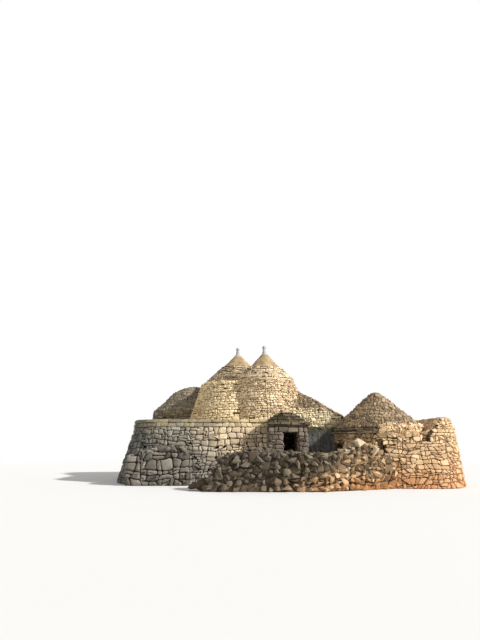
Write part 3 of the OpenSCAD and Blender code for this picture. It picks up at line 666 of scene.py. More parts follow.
class Outline:
    """A rounded wall in plan: the hull of circles, leaning in as it rises."""

    def __init__(self, circles, lean, start, end, foot=0.0):
        self.lean = lean
        self.foot = foot
        self.runs, self.points = [], []
        self.length = 0.0
        for i in range(OUTLINE_STEPS + 1):
            angle = start + (end - start) * i / OUTLINE_STEPS
            out = Vector((math.cos(angle), math.sin(angle)))
            x, y, radius = max(circles, key=lambda c: c[0] * out.x + c[1] * out.y + c[2])
            point = Vector((x, y)) + out * radius
            if self.points:
                self.length += (point - self.points[-1][0]).length
            self.runs.append(self.length)
            self.points.append((point, out))

    def at(self, u, v, w, row=0):
        u = min(max(u, 0.0), self.length)
        i = min(bisect.bisect_right(self.runs, u), OUTLINE_STEPS) - 1
        (point_a, out_a), (point_b, out_b) = self.points[i:i + 2]
        t = (u - self.runs[i]) / max(self.runs[i + 1] - self.runs[i], 1e-9)
        out = out_a.lerp(out_b, t).normalized()
        point = point_a.lerp(point_b, t) + out * (w - self.lean * v)
        return Vector((point.x, point.y, self.foot + v))

    def run_to(self, x, y):
        """How far along the outline lies closest to a plan point."""
        return min(zip(self.runs, self.points), key=lambda pair: (pair[1][0] - Vector((x, y))).length)[0]

    def shifted(self, u, v, w):
        """The same wall with its bed moved along, up and out."""
        return lambda bed_u, bed_v, bed_w, row=0: self.at(bed_u + u, bed_v + v, bed_w + w)


def flat_wall(origin, along):
    """An upright plane through origin. Stones face to the right of along, seen from above."""
    along = Vector(along).normalized()
    up = Vector((0, 0, 1))
    out = along.cross(up)
    origin = Vector(origin)
    return lambda u, v, w, row=0: origin + along * u + up * v + out * w


def flat_floor(x, y, z):
    """A level plane with its lower left corner at x, y. Stones face up."""
    return lambda u, v, w, row=0: Vector((x + u, y + v, z + w))


def worn(bm, edge):
    """Knocks the sharp edges off boulders."""
    bmesh.ops.bevel(bm, geom=bm.edges[:], offset=edge, affect="EDGES", segments=1, profile=0.5, material=-1,
                    clamp_overlap=True)
    bmesh.ops.recalc_face_normals(bm, faces=bm.faces[:])
    return bm


class Heap:
    """Loose angular stones that make one piece."""

    def __init__(self, seed):
        self.rng = random.Random(seed)
        self.draw = self.rng.uniform
        self.bm = bmesh.new()
        self.tone = layer(self.bm, "tone")

    def add(self, at, size, flat=0.75, points=13, turn=None, lean=0.35):
        """One stone: the hull of random points in a squashed ball."""
        rng, draw = self.rng, self.draw
        turn = draw(0, FULL_TURN) if turn is None else turn
        turned = Matrix.Rotation(turn, 3, "Z") @ Matrix.Rotation(draw(-lean, lean), 3, "X")
        stretch = Matrix.Diagonal((size * draw(0.8, 1.35), size * draw(0.6, 0.95),
                                   size * flat * draw(0.7, 1.15)))
        shade = rng.betavariate(2, 2.4)
        verts = []
        for _ in range(points):
            way = Vector((rng.gauss(0, 1), rng.gauss(0, 1), rng.gauss(0, 1))).normalized()
            verts.append(self.bm.verts.new(Vector(at) + turned @ (stretch @ (way * draw(0.42, 0.52)))))
            verts[-1][self.tone] = shade
        made = bmesh.ops.convex_hull(self.bm, input=verts)
        stray = [part for part in made["geom_interior"] + made["geom_unused"]
                 if isinstance(part, bmesh.types.BMVert)]
        bmesh.ops.delete(self.bm, geom=list(dict.fromkeys(stray)), context="VERTS")

    def show(self, name, wear, material):
        """Knocks the sharp edges off the stones and shows them."""
        return piece(worn(self.bm, wear), name, material)


# Round walls

FRONT_DRUM_R, FRONT_CONE_R = 1.6, 1.33
REAR_DRUM_R, REAR_CONE_R = 2.08, 1.79
HAUNCH_R, HAUNCH_TOP_R = 2.3, 1.72
front_drum = Turned(FRONT_AXIS, [(FRONT_DRUM_R, BASE_TOP), (1.25, EAVE_Z)])
rear_drum = Turned(REAR_AXIS, [(REAR_DRUM_R, BASE_TOP), (1.76, EAVE_Z)])
haunch = Turned(HAUNCH_AXIS, [(HAUNCH_R, BASE_TOP), (HAUNCH_TOP_R, EAVE_Z)])
FRONT_CAP_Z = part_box("front_cap")[0].z
REAR_CAP_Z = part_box("rear_cap")[0].z
front_cone = Turned(FRONT_AXIS, [(FRONT_CONE_R, EAVE_Z), (1.31, EAVE_Z + 0.08), (0.725, FRONT_CAP_Z)])
rear_cone = Turned(REAR_AXIS, [(REAR_CONE_R, EAVE_Z), (1.77, EAVE_Z + 0.08), (0.765, REAR_CAP_Z)])
DOME_Z, DOME_TOP_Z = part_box("left_dome")[0].z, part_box("left_dome")[1].z
DOME_SHAPE = ((1.0, 0.0), (0.745, 0.354), (0.51, 0.738), (0.377, 0.854), (0.225, 0.938), (0.1, 1.0))
LEFT_R = 2.04
left_drum = Turned(LEFT_AXIS, [(LEFT_R, BASE_TOP), (LEFT_R, DOME_Z)])
left_dome = Turned(LEFT_AXIS, [(LEFT_R * r, DOME_Z + (DOME_TOP_Z - DOME_Z) * h) for r, h in DOME_SHAPE])
CONE_Z, CONE_TOP_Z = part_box("right_cone")[0].z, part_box("right_cone")[1].z
right_cone = Turned(RIGHT_AXIS, [(1.8, CONE_Z), (1.8, CONE_Z + 0.09), (0.17, CONE_TOP_Z - 0.02),
                                 (0.05, CONE_TOP_Z + 0.02)])

# The shared wall between the left dome and the rear drum stands midway between their rooms
LEFT_ROOM_R, REAR_ROOM_R = 0.83, 0.96
TO_REAR = (REAR_AXIS - LEFT_AXIS).normalized()
SHARED_WALL = LEFT_ROOM_R + ((REAR_AXIS - LEFT_AXIS).length - LEFT_ROOM_R - REAR_ROOM_R) / 2

ANNEX_EAVE_Z = BASE_TOP + 0.54
ANNEX_FALL = math.tan(math.radians(32))


def on_left(point):
    return (point.xy - LEFT_AXIS).dot(TO_REAR) < SHARED_WALL


def in_left(point):
    return on_left(point) and (left_drum.holds(point, 0.02) or left_dome.holds(point, 0.02))


def annex_slope_z(x, y):
    """Height of the annex roof: a cone about the front drum, cut by a slope up from the annex wall."""
    from_axis = (Vector((x, y)) - FRONT_AXIS).length
    cone_z = EAVE_Z - 0.4 - (from_axis - 1.5) * ANNEX_FALL
    return min(cone_z, ANNEX_EAVE_Z + (y - ANNEX_FRONT) * ANNEX_FALL)


def in_annex(point):
    inside = point.x > 0.45 and ANNEX_FRONT < point.y < ANNEX_BACK
    return inside and point.z < annex_slope_z(point.x, point.y) - 0.03


def behind_left(point):
    return not on_left(point) or rear_drum.holds(point, -0.05) or haunch.holds(point, -0.05)


def in_front_cone(point):
    return (point.xy - FRONT_AXIS).length < front_cone.radius_at(point.z) + 0.02 and point.z < FRONT_CAP_Z


DRUM_BED = dict(wander=0.3, slant=0.42, split=0.16, wave=0.45, panel=1.5)
DRUM_LOOK = dict(joint=0.018, proud=0.036, sink=0.05, soft=0.018, swell=0.012, corners=19, uneven=0.15,
                 roughness=0.01)
ROOF_LOOK = dict(joint=0.02, proud=0.042, sink=0.07, soft=0.014, swell=0.009, corners=12, uneven=0.1,
                 roughness=0.01, tilt=0.45, uneven_rows=0.28)
EAVE_LOOK = dict(joint=0.012, proud=0.035, sink=0.16, soft=0.012, swell=0.004, uneven=0.16, roughness=0.022,
                 longest=400)

front_face = Turned(FRONT_AXIS, [(FRONT_DRUM_R, BASE_TOP), (1.366, EAVE_Z - 0.6), (1.295, EAVE_Z)])
front_face.clad("front_drum_stones", DRUM_STONE, 11, 0.1, 0.165, DRUM_LOOK,
                lambda p: rear_drum.holds(p, -0.05) or haunch.holds(p, -0.05) or in_annex(p), DRUM_BED,
                proud=0.042, sink=0.09)
rear_drum.clad("rear_drum_stones", CREAM, 12, 0.104, 0.18, DRUM_LOOK,
               lambda p: front_drum.holds(p) or haunch.holds(p) or in_left(p), DRUM_BED)
haunch.clad("haunch_stones", CREAM, 13, 0.102, 0.18, DRUM_LOOK,
            lambda p: front_drum.holds(p) or rear_drum.holds(p) or in_left(p), DRUM_BED)
front_cone.clad("front_cone_stones", ROOF_STONE, 14, 0.082, 0.17, ROOF_LOOK)
rear_cone.clad("rear_cone_stones", REAR_ROOF_STONE, 15, 0.085, 0.18, ROOF_LOOK, in_front_cone)
left_drum.clad("left_drum_stones", LEFT_STONE, 16, 0.115, 0.24, DRUM_LOOK, behind_left, DRUM_BED)
left_dome.clad("left_dome_stones", LEFT_STONE, 17, 0.1, 0.19, ROOF_LOOK, behind_left, sink=0.09, tilt=0.3)
right_cone.clad("right_cone_stones", RIGHT_ROOF_STONE, 18, 0.098, 0.16, ROOF_LOOK, joint=0.022, proud=0.05,
                sink=0.09, soft=0.018, swell=0.014, corners=18, roughness=0.016)


def eave(name, material, seed, axis, radius, low, high, stone, hidden=None, **changes):
    """One course of flat slabs that project under a roof."""
    wall = Turned(axis, [(radius, low), (radius, high)])
    wall.clad(name, material, seed, high - low, stone, EAVE_LOOK, hidden, **changes)


eave("front_eave_slabs", ROOF_STONE, 21, FRONT_AXIS, FRONT_CONE_R, EAVE_Z - 0.03, EAVE_Z + 0.045, 0.2)
eave("front_eave_left_slabs", ROOF_STONE, 25, FRONT_AXIS, 1.385, EAVE_Z - 0.045, EAVE_Z + 0.03, 0.22,
     lambda p: p.x > FRONT_AXIS.x - 0.7)
eave("rear_eave_slabs", REAR_ROOF_STONE, 22, REAR_AXIS, 1.785, EAVE_Z - 0.02, EAVE_Z + 0.04, 0.28,
     lambda p: (p.xy - FRONT_AXIS).length < 1.4 or haunch.holds(p - Vector((0, 0, 0.05)), -0.08))
RIGHT_EAVE_LOW, RIGHT_EAVE_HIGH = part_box("right_eave_slabs")[0].z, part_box("right_eave_slabs")[1].z
RIGHT_EAVE_MID = (RIGHT_EAVE_LOW + RIGHT_EAVE_HIGH) / 2
RUBBLE_LEFT = 3.62  # the terrace's rubble starts here


def behind_right_eave(point):
    """Where the right drum's eave runs into the annex, the facade or the rubble of the terrace."""
    annex = point.y > ANNEX_FRONT + 0.2 and point.x < 2.9
    facade = point.y > FACADE_FRONT and point.x < FACADE_RIGHT
    return annex or facade or under_rubble(point)


def under_rubble(point):
    """The part of the right drum's eave that the terrace's rubble runs over."""
    return point.x > RUBBLE_LEFT and point.y < RIGHT_AXIS.y + 0.3 * (point.x - RUBBLE_LEFT)


for level, seed, radius, low, high, stone in (
        ("lower", 23, 1.93, RIGHT_EAVE_LOW - 0.005, RIGHT_EAVE_MID, 0.3),
        ("upper", 24, 1.9, RIGHT_EAVE_MID + 0.004, RIGHT_EAVE_HIGH + 0.012, 0.26)):
    eave(f"right_eave_{level}_slabs", EAVE_SLAB, seed, RIGHT_AXIS, radius, low, high, stone,
         behind_right_eave, sink=0.3, slot=PALE)


# Base walls, capping slabs and the terrace

BASE_CORNER_R = 1.95
BASE_BATTER = 0.7  # how far the base's faces lean in
BASE_LEAN = BASE_BATTER / BASE_TOP
BASE_LEFT, BASE_RIGHT, BASE_FRONT, BASE_BACK = -6.95, 1.45, -2.7, 5.5
BASE_CIRCLES = [(x, y, BASE_CORNER_R)
                for x in (BASE_LEFT + BASE_CORNER_R, BASE_RIGHT - BASE_CORNER_R)
                for y in (BASE_FRONT + BASE_CORNER_R, BASE_BACK - BASE_CORNER_R)]
# Clockwise seen from above, from the porch round the left end and the back to the annex
base_line = Outline(BASE_CIRCLES, BASE_LEAN, -QUARTER + 1e-4, -5 * QUARTER)
BASE_END = base_line.run_to(BASE_RIGHT, ANNEX_BACK)
CAP_LIP = 0.045
WALL_LOOK = dict(joint=0.024, proud=0.045, sink=0.06, soft=0.026, swell=0.02, pillow=0.03, corners=15,
                 uneven=0.12, roughness=0.016)
BUTTRESS_LOW, BUTTRESS_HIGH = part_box("left_buttress")
BUTTRESS_W = BUTTRESS_HIGH.x - BUTTRESS_LOW.x
BUTTRESS_D = BUTTRESS_HIGH.y - BUTTRESS_LOW.y


def along_shape(run, shape):
    """Height at a share of a length, on straight lines between the points of a shape."""
    for (a, low), (b, high) in zip(shape, shape[1:]):
        if run <= b:
            return low + (high - low) * (run - a) / (b - a)
    return shape[-1][1]


def buttress_top(run):
    """Height of the buttress at a share of its length."""
    shape = ((0.0, 0.69), (0.148, 0.774), (0.408, 0.884), (0.7, 0.974), (0.812, 1.0), (1.0, 0.755))
    return BUTTRESS_HIGH.z * along_shape(run, shape) if run <= 1 else 0.0


def in_buttress(point):
    run = (point.x - BUTTRESS_LOW.x) / BUTTRESS_W
    return 0.03 < run < 0.97 and point.y < BUTTRESS_HIGH.y and point.z < buttress_top(run) - 0.15


clad("base_wall_blocks", BASE_BLOCK, 31, base_line.at, (BASE_END, WALL_TOP, 0.215, 0.27),
     dict(wander=0.26, slant=0.42, split=0.22, wave=0.5, panel=2.0), WALL_LOOK,
     lambda p: in_buttress(p) or (p.y < BASE_FRONT + 0.7 and p.x > PORCH_LEFT), GREY)

rng = random.Random(32)
CAP_BED = dict(wander=0.16, slant=0.35, split=0.0, wave=0.22, panel=2.6)
CAP_LOOK = dict(joint=0.014, proud=0.036, sink=0.36, soft=0.016, swell=0.01, corners=10, uneven=0.1,
                roughness=0.02)
CAP_H = BASE_TOP - WALL_TOP + 0.032
for name, foot, height, lip, stone in (("capping_lower_stones", 0.0, 0.56 * CAP_H, 0.0, 0.34),
                                       ("capping_upper_stones", 0.56 * CAP_H, 0.44 * CAP_H, 0.03, 0.44)):
    bed = rustic_bed(BASE_END, height, 0.15, stone, rng, **CAP_BED)
    bm = lay(bed, base_line.shifted(0, WALL_TOP + foot, CAP_LIP + lip), rng,
             lambda p: p.y < BASE_FRONT + 1.0 and p.x > PORCH_LEFT, **CAP_LOOK)
    piece(bm, name, SLAB)


def off_terrace(point):
    """True where the level terrace has no paving of its own."""
    inner_r = BASE_CORNER_R - BASE_BATTER - 0.18
    x = min(max(point.x, BASE_LEFT + BASE_CORNER_R), BASE_RIGHT - BASE_CORNER_R)
    y = min(max(point.y, BASE_FRONT + BASE_CORNER_R), BASE_BACK - BASE_CORNER_R)
    low = point + Vector((0, 0, 0.01))
    return ((point.xy - Vector((x, y))).length > inner_r or front_drum.holds(low, -0.26)
            or rear_drum.holds(low, -0.26) or haunch.holds(low, -0.26) or left_drum.holds(low, -0.26)
            or in_annex(point - Vector((0.25, 0.0, 0.0))))


def off_haunch_top(point):
    """True outside the level top of the haunch, or under a cone."""
    return ((point.xy - HAUNCH_AXIS).length > 1.68 or (point.xy - REAR_AXIS).length < 1.62
            or (point.xy - FRONT_AXIS).length < 1.2 or in_left(point))


PAVING_LOOK = dict(joint=0.024, proud=0.022, sink=0.04, soft=0.022, swell=0.006, roughness=0.01)
clad("terrace_paving", ROOF_STONE, 34, flat_floor(BASE_LEFT, BASE_FRONT, BASE_TOP),
     (BASE_RIGHT - BASE_LEFT, BASE_BACK - BASE_FRONT, 0.34, 0.42), dict(slant=0.4), PAVING_LOOK, off_terrace)
clad("haunch_top_slabs", ROOF_STONE, 35, flat_floor(HAUNCH_AXIS.x - 2.0, -1.1, EAVE_Z),
     (4.0, 2.4, 0.24, 0.3), dict(slant=0.4), PAVING_LOOK, off_haunch_top, joint=0.018)


# Low buttress at the left corner

BIG_LOOK = dict(joint=0.034, proud=0.07, sink=0.07, soft=0.034, swell=0.03, pillow=0.05, corners=18,
                uneven=0.16, roughness=0.026)


def above_buttress(point):
    return point.z > buttress_top((point.x - BUTTRESS_LOW.x) / BUTTRESS_W) - 0.05


def buttress_slope(u, v, w, row=0):
    """The buttress's top as a bed."""
    top = buttress_top(min(u / BUTTRESS_W, 1.0))
    return Vector((BUTTRESS_LOW.x + u, BUTTRESS_LOW.y + v, top - 0.035 + w))


clad("buttress_front_blocks", GREY_BLOCK, 36, flat_wall(BUTTRESS_LOW, (1, 0, 0)),
     (BUTTRESS_W, BUTTRESS_HIGH.z, 0.25, 0.34), dict(wander=0.3, slant=0.5, split=0.18, wave=0.6, panel=0.9),
     BIG_LOOK, above_buttress, GREY)
for side, origin, along, height, seed in (
        ("right", (BUTTRESS_HIGH.x, BUTTRESS_LOW.y, 0), (0, 1, 0), 1.14, 37),
        ("left", (BUTTRESS_LOW.x, BUTTRESS_HIGH.y, 0), (0, -1, 0), 1.05, 38)):
    clad(f"buttress_{side}_end_blocks", GREY_BLOCK, seed, flat_wall(origin, along),
         (BUTTRESS_D, height, 0.25, 0.32), dict(wander=0.28, slant=0.4, split=0.15, wave=0.4, panel=9),
         BIG_LOOK, slot=GREY, proud=0.05)
clad("buttress_top_slabs", GREY_BLOCK, 40, buttress_slope, (BUTTRESS_W, BUTTRESS_D, 0.24, 0.3),
     dict(wander=0.28, slant=0.4), BIG_LOOK, slot=GREY, proud=0.02, sink=0.06)
heap = Heap(39)
for i in range(16):
    run = (i + 0.5) / 16
    for depth in (0.03, 0.22, 0.42, 0.62):
        at = (BUTTRESS_LOW.x + run * BUTTRESS_W + heap.draw(-0.05, 0.05),
              BUTTRESS_LOW.y + depth + heap.draw(-0.03, 0.05), buttress_top(run) + heap.draw(-0.08, 0.0))
        heap.add(at, heap.draw(0.24, 0.4), 0.72, 12, lean=0.6)
heap.show("buttress_top_stones", 0.014, GREY_BLOCK)


# Door porch: piers, lintels, cornice slabs and the low hood

PORCH_BACK = BASE_FRONT + 0.62
PIER_BED = dict(wander=0.26, slant=0.3, split=0.16, wave=0.3, panel=9)
PIER_LOOK = dict(joint=0.016, sink=0.05, soft=0.018, swell=0.014, pillow=0.025, corners=14, uneven=0.14,
                 roughness=0.022)
PIER_FACES = (
    ("left_pier_front", (PORCH_LEFT, PORCH_FRONT, 0), (1, 0, 0), DOOR_LEFT - PORCH_LEFT, 0.24),
    ("left_pier_side", (PORCH_LEFT, PORCH_BACK, 0), (0, -1, 0), PORCH_BACK - PORCH_FRONT, 0.26),
    ("left_reveal", (DOOR_LEFT, PORCH_FRONT, 0), (0, 1, 0), ROOM_FRONT - PORCH_FRONT, 0.3),
    ("right_reveal", (DOOR_RIGHT, ROOM_FRONT, 0), (0, -1, 0), ROOM_FRONT - PORCH_FRONT, 0.3),
    ("right_pier_front", (DOOR_RIGHT, PORCH_FRONT, 0), (1, 0, 0), PORCH_RIGHT - DOOR_RIGHT, 0.2),
    ("right_pier_side", (PORCH_RIGHT, PORCH_FRONT, 0), (0, 1, 0), FACADE_FRONT - PORCH_FRONT, 0.26),
)
# painted light: the right reveal takes the paler eave slab stone as a lit side, the other porch faces the
# dark porch stone
for number, (name, origin, along, width, stone) in enumerate(PIER_FACES):
    clad(name + "_stones", EAVE_SLAB if name == "right_reveal" else PORCH_STONE, 41 + number,
         flat_wall(origin, along), (width, DOOR_HEAD, 0.17, stone), PIER_BED, PIER_LOOK, slot=GREY,
         proud=0.012 if "reveal" in name else 0.026)

LINTEL_LEFT, LINTEL_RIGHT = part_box("door_lintels")[0].x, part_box("door_lintels")[1].x
for number, (name, left, right, proud) in enumerate((
        ("left_lintel_end", PORCH_LEFT, LINTEL_LEFT, 0.02),
        ("front_lintel", LINTEL_LEFT, LINTEL_RIGHT, 0.03),
        ("right_lintel_end", LINTEL_RIGHT, PORCH_RIGHT, 0.02))):
    rng = random.Random(51 + number)
    bed = Bed()
    bed.cut_course(bed.sheet(0, 0, right - left, WALL_TOP - DOOR_HEAD), 0.34, rng, 0.25)
    bm = lay(bed, flat_wall((left, PORCH_FRONT, DOOR_HEAD), (1, 0, 0)), rng, proud=proud, **PIER_LOOK)
    piece(bm, name, PORCH_STONE)


def slab_course(name, material, seed, sides, levels, slabs, front, back, bow=None):
    """Flat slabs side by side over a depth, with their front edge straight or bowed."""
    rng = random.Random(seed)
    left, right = sides
    foot, top = levels
    mid = (left + right) / 2
    bed = Bed()
    depth = back - front
    bed.cut_course(bed.sheet(0, 0, right - left, depth), (right - left) / slabs, rng, 0.08)
    for corner in bed.corners:
        if corner.y < depth / 2:
            corner.y += rng.uniform(-0.02, 0.03)
            if bow:
                across = left + corner.x - mid
                corner.y += bow - math.sqrt(max(bow * bow - across * across, 0.0)) - 0.02
    bm = lay(bed, flat_floor(left, front, top), rng, joint=0.012, proud=0.012, sink=top - foot + 0.004,
             soft=0.02, swell=0.006, corners=7, uneven=0.02, roughness=0.02, longest=100)
    piece(bm, name, material)


cornice_low, cornice_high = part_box("porch_cornice")
cornice_mid = (cornice_low.z + cornice_high.z) / 2
slab_course("cornice_lower_slabs", PORCH_STONE, 55, (cornice_low.x - 0.01, cornice_high.x - 0.04),
            (cornice_low.z, cornice_mid), 5, cornice_low.y + 0.03, BASE_FRONT + 0.65)
slab_course("cornice_upper_slabs", MOSSY_SHADED_SLAB, 56, (cornice_low.x - 0.03, cornice_high.x + 0.02),
            (cornice_mid + 0.006, cornice_high.z + 0.01), 4, cornice_low.y - 0.03, BASE_FRONT + 0.65)
hood_mid = (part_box("porch_hood")[0].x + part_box("porch_hood")[1].x) / 2
hood_half = (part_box("porch_hood")[1].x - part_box("porch_hood")[0].x) / 2
hood_levels = (cornice_high.z + 0.012, BASE_TOP, BASE_TOP + 0.13, BASE_TOP + 0.26)
for number, inset in enumerate((-0.015, 0.02, 0.06, 0.16, 0.27, 0.44)):
    course, part = divmod(number, 2)
    setback = (0.0, 0.19, 0.47)[course]
    foot, top = hood_levels[course:course + 2]
    side = hood_half - inset
    half = (top - foot) / 2
    slab_course(f"hood_course_{number + 1}", MOSSY_SHADED_SLAB, 57 + number, (hood_mid - side, hood_mid + side),
                (foot + half * part + 0.004, foot + half * (part + 1)), 5 - course,
                PORCH_FRONT + 0.6 * setback - 0.03 + 0.05 * part,
                BASE_FRONT + 0.68 if course == 0 else ANNEX_FRONT, 2.2 * (hood_half - setback))


# Facade and annex

heap = Heap(61)
for i in range(40):
    at = (FACADE_LEFT + 0.02 + (i % 20) * 0.073,
          FACADE_FRONT + (0.06 if i < 20 else 0.28) + heap.draw(-0.04, 0.05),
          FACADE_TOP + heap.draw(-0.04, 0.03))
    heap.add(at, heap.draw(0.12, 0.22), 0.6)
for _ in range(70):
    at = (heap.draw(FACADE_LEFT + 0.1, FACADE_RIGHT + 0.3),
          heap.draw(FACADE_FRONT + 0.35, ANNEX_FRONT - 0.05), FACADE_TOP + heap.draw(-0.03, 0.02))
    heap.add(at, heap.draw(0.14, 0.26), 0.45)
heap.show("facade_top_rubble", 0.01, MOSSY_SHADED_SLAB)

ANNEX_LEFT = 0.4
ROOF_LEFT = 0.38
IN_BASE_X = 0.85  # left of this the base hides the foot of the annex
ANNEX_BED = dict(wander=0.28, slant=0.45, split=0.12, wave=0.6, panel=0.9)
ANNEX_LOOK = dict(joint=0.015, proud=0.028, sink=0.05, soft=0.018, swell=0.014, corners=18, uneven=0.14,
                  roughness=0.012)


def annex_roof(u, v, w, row=0):
    """The annex's roof as a bed."""
    return Vector((ROOF_LEFT + u, ANNEX_FRONT + v, annex_slope_z(ROOF_LEFT + u, ANNEX_FRONT + v) + w))


clad("annex_front_stones", ANNEX_STONE, 62,
     flat_wall((ANNEX_LEFT, ANNEX_FRONT, WALL_TOP), (1, 0, 0)),
     (ANNEX_RIGHT - ANNEX_LEFT, ANNEX_EAVE_Z - WALL_TOP, 0.125, 0.16), ANNEX_BED, ANNEX_LOOK,
     lambda p: p.z > annex_slope_z(p.x, ANNEX_FRONT) - 0.04 or front_drum.holds(p, -0.06)
     or (p.x < IN_BASE_X and p.z < BASE_TOP))
clad("annex_side_stones", ANNEX_STONE, 63,
     flat_wall((ANNEX_RIGHT, ANNEX_FRONT, WALL_TOP), (0, 1, 0)), (ANNEX_BACK - ANNEX_FRONT, 0.9, 0.14, 0.19),
     ANNEX_BED, ANNEX_LOOK, lambda p: p.z > annex_slope_z(ANNEX_RIGHT, p.y) - 0.04)
clad("annex_back_stones", ANNEX_STONE, 64,
     flat_wall((ANNEX_RIGHT, ANNEX_BACK, WALL_TOP), (-1, 0, 0)), (ANNEX_RIGHT - 0.55, 1.6, 0.15, 0.2),
     ANNEX_BED, ANNEX_LOOK, lambda p: p.z > annex_slope_z(p.x, ANNEX_BACK) - 0.05 or front_drum.holds(p)
     or (p.x < IN_BASE_X and p.z < BASE_TOP))
clad("annex_roof_bedding", MOSSY_SHADED_SLAB, 68, annex_roof,
     (ANNEX_RIGHT - ROOF_LEFT, ANNEX_BACK - ANNEX_FRONT, 0.15, 0.18), ANNEX_BED, ANNEX_LOOK,
     lambda p: front_drum.holds(p, -0.2), LOOSE, proud=0.012, sink=0.07)

heap = Heap(65)
step = 0.112
for i in range(int((ANNEX_RIGHT - 0.3) / step)):
    for j in range(int((ANNEX_BACK - ANNEX_FRONT) / step) + 1):
        x = ROOF_LEFT + i * step + heap.draw(-0.04, 0.04)
        y = ANNEX_FRONT + j * step + heap.draw(-0.04, 0.04)
        z = annex_slope_z(x, y)
        if x <= ANNEX_RIGHT + 0.02 and not front_drum.holds(Vector((x, y, z)), -0.03):
            heap.add((x, y, z - 0.01), heap.draw(0.11, 0.26), 0.7, 11, lean=1.0)
heap.show("annex_roof_rubble", 0.007, LOOSE_RED)

# Loose stones heaped against the right front of the front drum
heap = Heap(67)
for _ in range(330):
    rise = heap.draw(0.0, 1.0)
    angle = math.radians(heap.draw(-72 + 30 * rise, -18 + 60 * max(0.0, rise - 0.5)))
    out = front_drum.profile(rise * front_drum.runs[-1], heap.draw(0.02, 0.15))
    at = (FRONT_AXIS.x + out.x * math.cos(angle), FRONT_AXIS.y + out.x * math.sin(angle), out.y - 0.05)
    if at[1] > ANNEX_FRONT - 0.42 and not in_annex(Vector(at)):
        heap.add(at, heap.draw(0.11, 0.2), 0.62, 12, lean=0.6)
heap.show("drum_side_rubble", 0.008, LOOSE_PALE)

annex_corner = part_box("annex_base")[1]
clad("annex_base_back_blocks", GREY_BLOCK, 66,
     flat_wall((annex_corner.x, annex_corner.y, 0), (-1, 0, 0)),
     (annex_corner.x - BASE_RIGHT + 0.35, WALL_TOP, 0.22, 0.28), dict(wander=0.26, slant=0.4), WALL_LOOK,
     slot=GREY)


# Right drum, its terrace and the raised end

RIGHT_R = 1.95
RIGHT_BATTER = 0.15
RIGHT_LEAN = RIGHT_BATTER / RIGHT_TOP
END_R = 1.3
END_X, END_Y = (4.8, 5.65), (-3.0, -1.1)
END_FRONT = -4.3
RIGHT_CIRCLES = [(RIGHT_AXIS.x, RIGHT_AXIS.y, RIGHT_R)] + [(x, y, END_R) for x in END_X for y in END_Y]
right_line = Outline(RIGHT_CIRCLES, RIGHT_LEAN, 2 * QUARTER, 5.25 * QUARTER)
YARD_DOOR_Y, YARD_DOOR_HALF, YARD_DOOR_H = -2.75, 0.33, 1.66
SLOT = SLOT_X, SLOT_HALF, SLOT_LOW, SLOT_HIGH = 3.67, 0.11, 1.3, 1.75
NOTCH_X, NOTCH_HALF, NOTCH_LOW = 5.29, 0.14, 1.68
NOTCH_LEFT, NOTCH_RIGHT = NOTCH_X - NOTCH_HALF, NOTCH_X + NOTCH_HALF
RECESS_DEPTH = 0.4
CREST_LOW, CREST_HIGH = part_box("right_end_crest")
CREST_H = CREST_HIGH.z - RIGHT_TOP
RAMP_LENGTH = 0.6
CREST_R, CREST_LEAN, CREST_TURN = 1.15, RIGHT_BATTER / 0.55, 1.45 * QUARTER
crest_line = Outline([(END_X[1], y, CREST_R) for y in END_Y], CREST_LEAN, -CREST_TURN, CREST_TURN, RIGHT_TOP)
TERRACE_LEFT, TERRACE_FRONT = 4.0, -4.4
YARD_SIDE_Y = -3.2  # nearer than this the right wall faces the yard


def in_notch(point):
    return abs(point.x - NOTCH_X) < NOTCH_HALF and point.y < YARD_SIDE_Y


def off_right_wall(point):
    door = abs(point.y - YARD_DOOR_Y) < YARD_DOOR_HALF and point.x < 3.0 and point.z < YARD_DOOR_H
    slot = abs(point.x - SLOT_X) < SLOT_HALF and point.y < YARD_SIDE_Y and SLOT_LOW < point.z < SLOT_HIGH
    notch = in_notch(point) and point.z > NOTCH_LOW
    annex = point.x < annex_corner.x and point.y > ROOM_FRONT
    facade = point.x < FACADE_RIGHT and point.y > FACADE_FRONT
    return door or slot or notch or annex or facade


def crest_top(point):
    """Height of the crest at a place, up its ramp."""
    return RIGHT_TOP + min(max((point.x - CREST_LOW.x) / RAMP_LENGTH, 0.0), 1.0) * CREST_H


def off_right_terrace(point):
    """True outside the top of the right end, or where its notch is cut."""
    rise = (crest_top(point) - RIGHT_TOP) / CREST_H
    nearest = Vector((min(max(point.x, END_X[0]), END_X[1]), min(max(point.y, END_Y[0]), END_Y[1])))
    top_r = CREST_R - 0.01 - RIGHT_BATTER * rise
    if (point.xy - nearest).length > top_r or (point.xy - RIGHT_AXIS).length < RIGHT_R - 0.1:
        return True
    return abs(point.x - NOTCH_X) < NOTCH_HALF and point.y < END_FRONT + RECESS_DEPTH + 0.05


def right_terrace(u, v, w, row=0):
    """The terrace and the ramp of its raised end as a bed."""
    x = TERRACE_LEFT + u
    return Vector((x, TERRACE_FRONT + v, crest_top(Vector((x, 0, 0))) + w))


RUBBLE_LOOK = dict(joint=0.017, proud=0.045, sink=0.06, soft=0.02, swell=0.022, corners=20, uneven=0.18,
                   roughness=0.018)
rng = random.Random(72)
bed = rustic_bed(right_line.length, RIGHT_TOP, 0.142, 0.175, rng, 0.34, 0.9, 0.18, 1.0, 0.8)
for x, half, low, high in (SLOT, (NOTCH_X, NOTCH_HALF, NOTCH_LOW, RIGHT_TOP + 1)):
    left, right = (right_line.run_to(side, END_FRONT) for side in (x - half, x + half))
    bed.cut_borders(left, right, low, high)
piece(lay(bed, right_line.at, rng, off_right_wall, **RUBBLE_LOOK), "right_wall_rubble", RUBBLE)

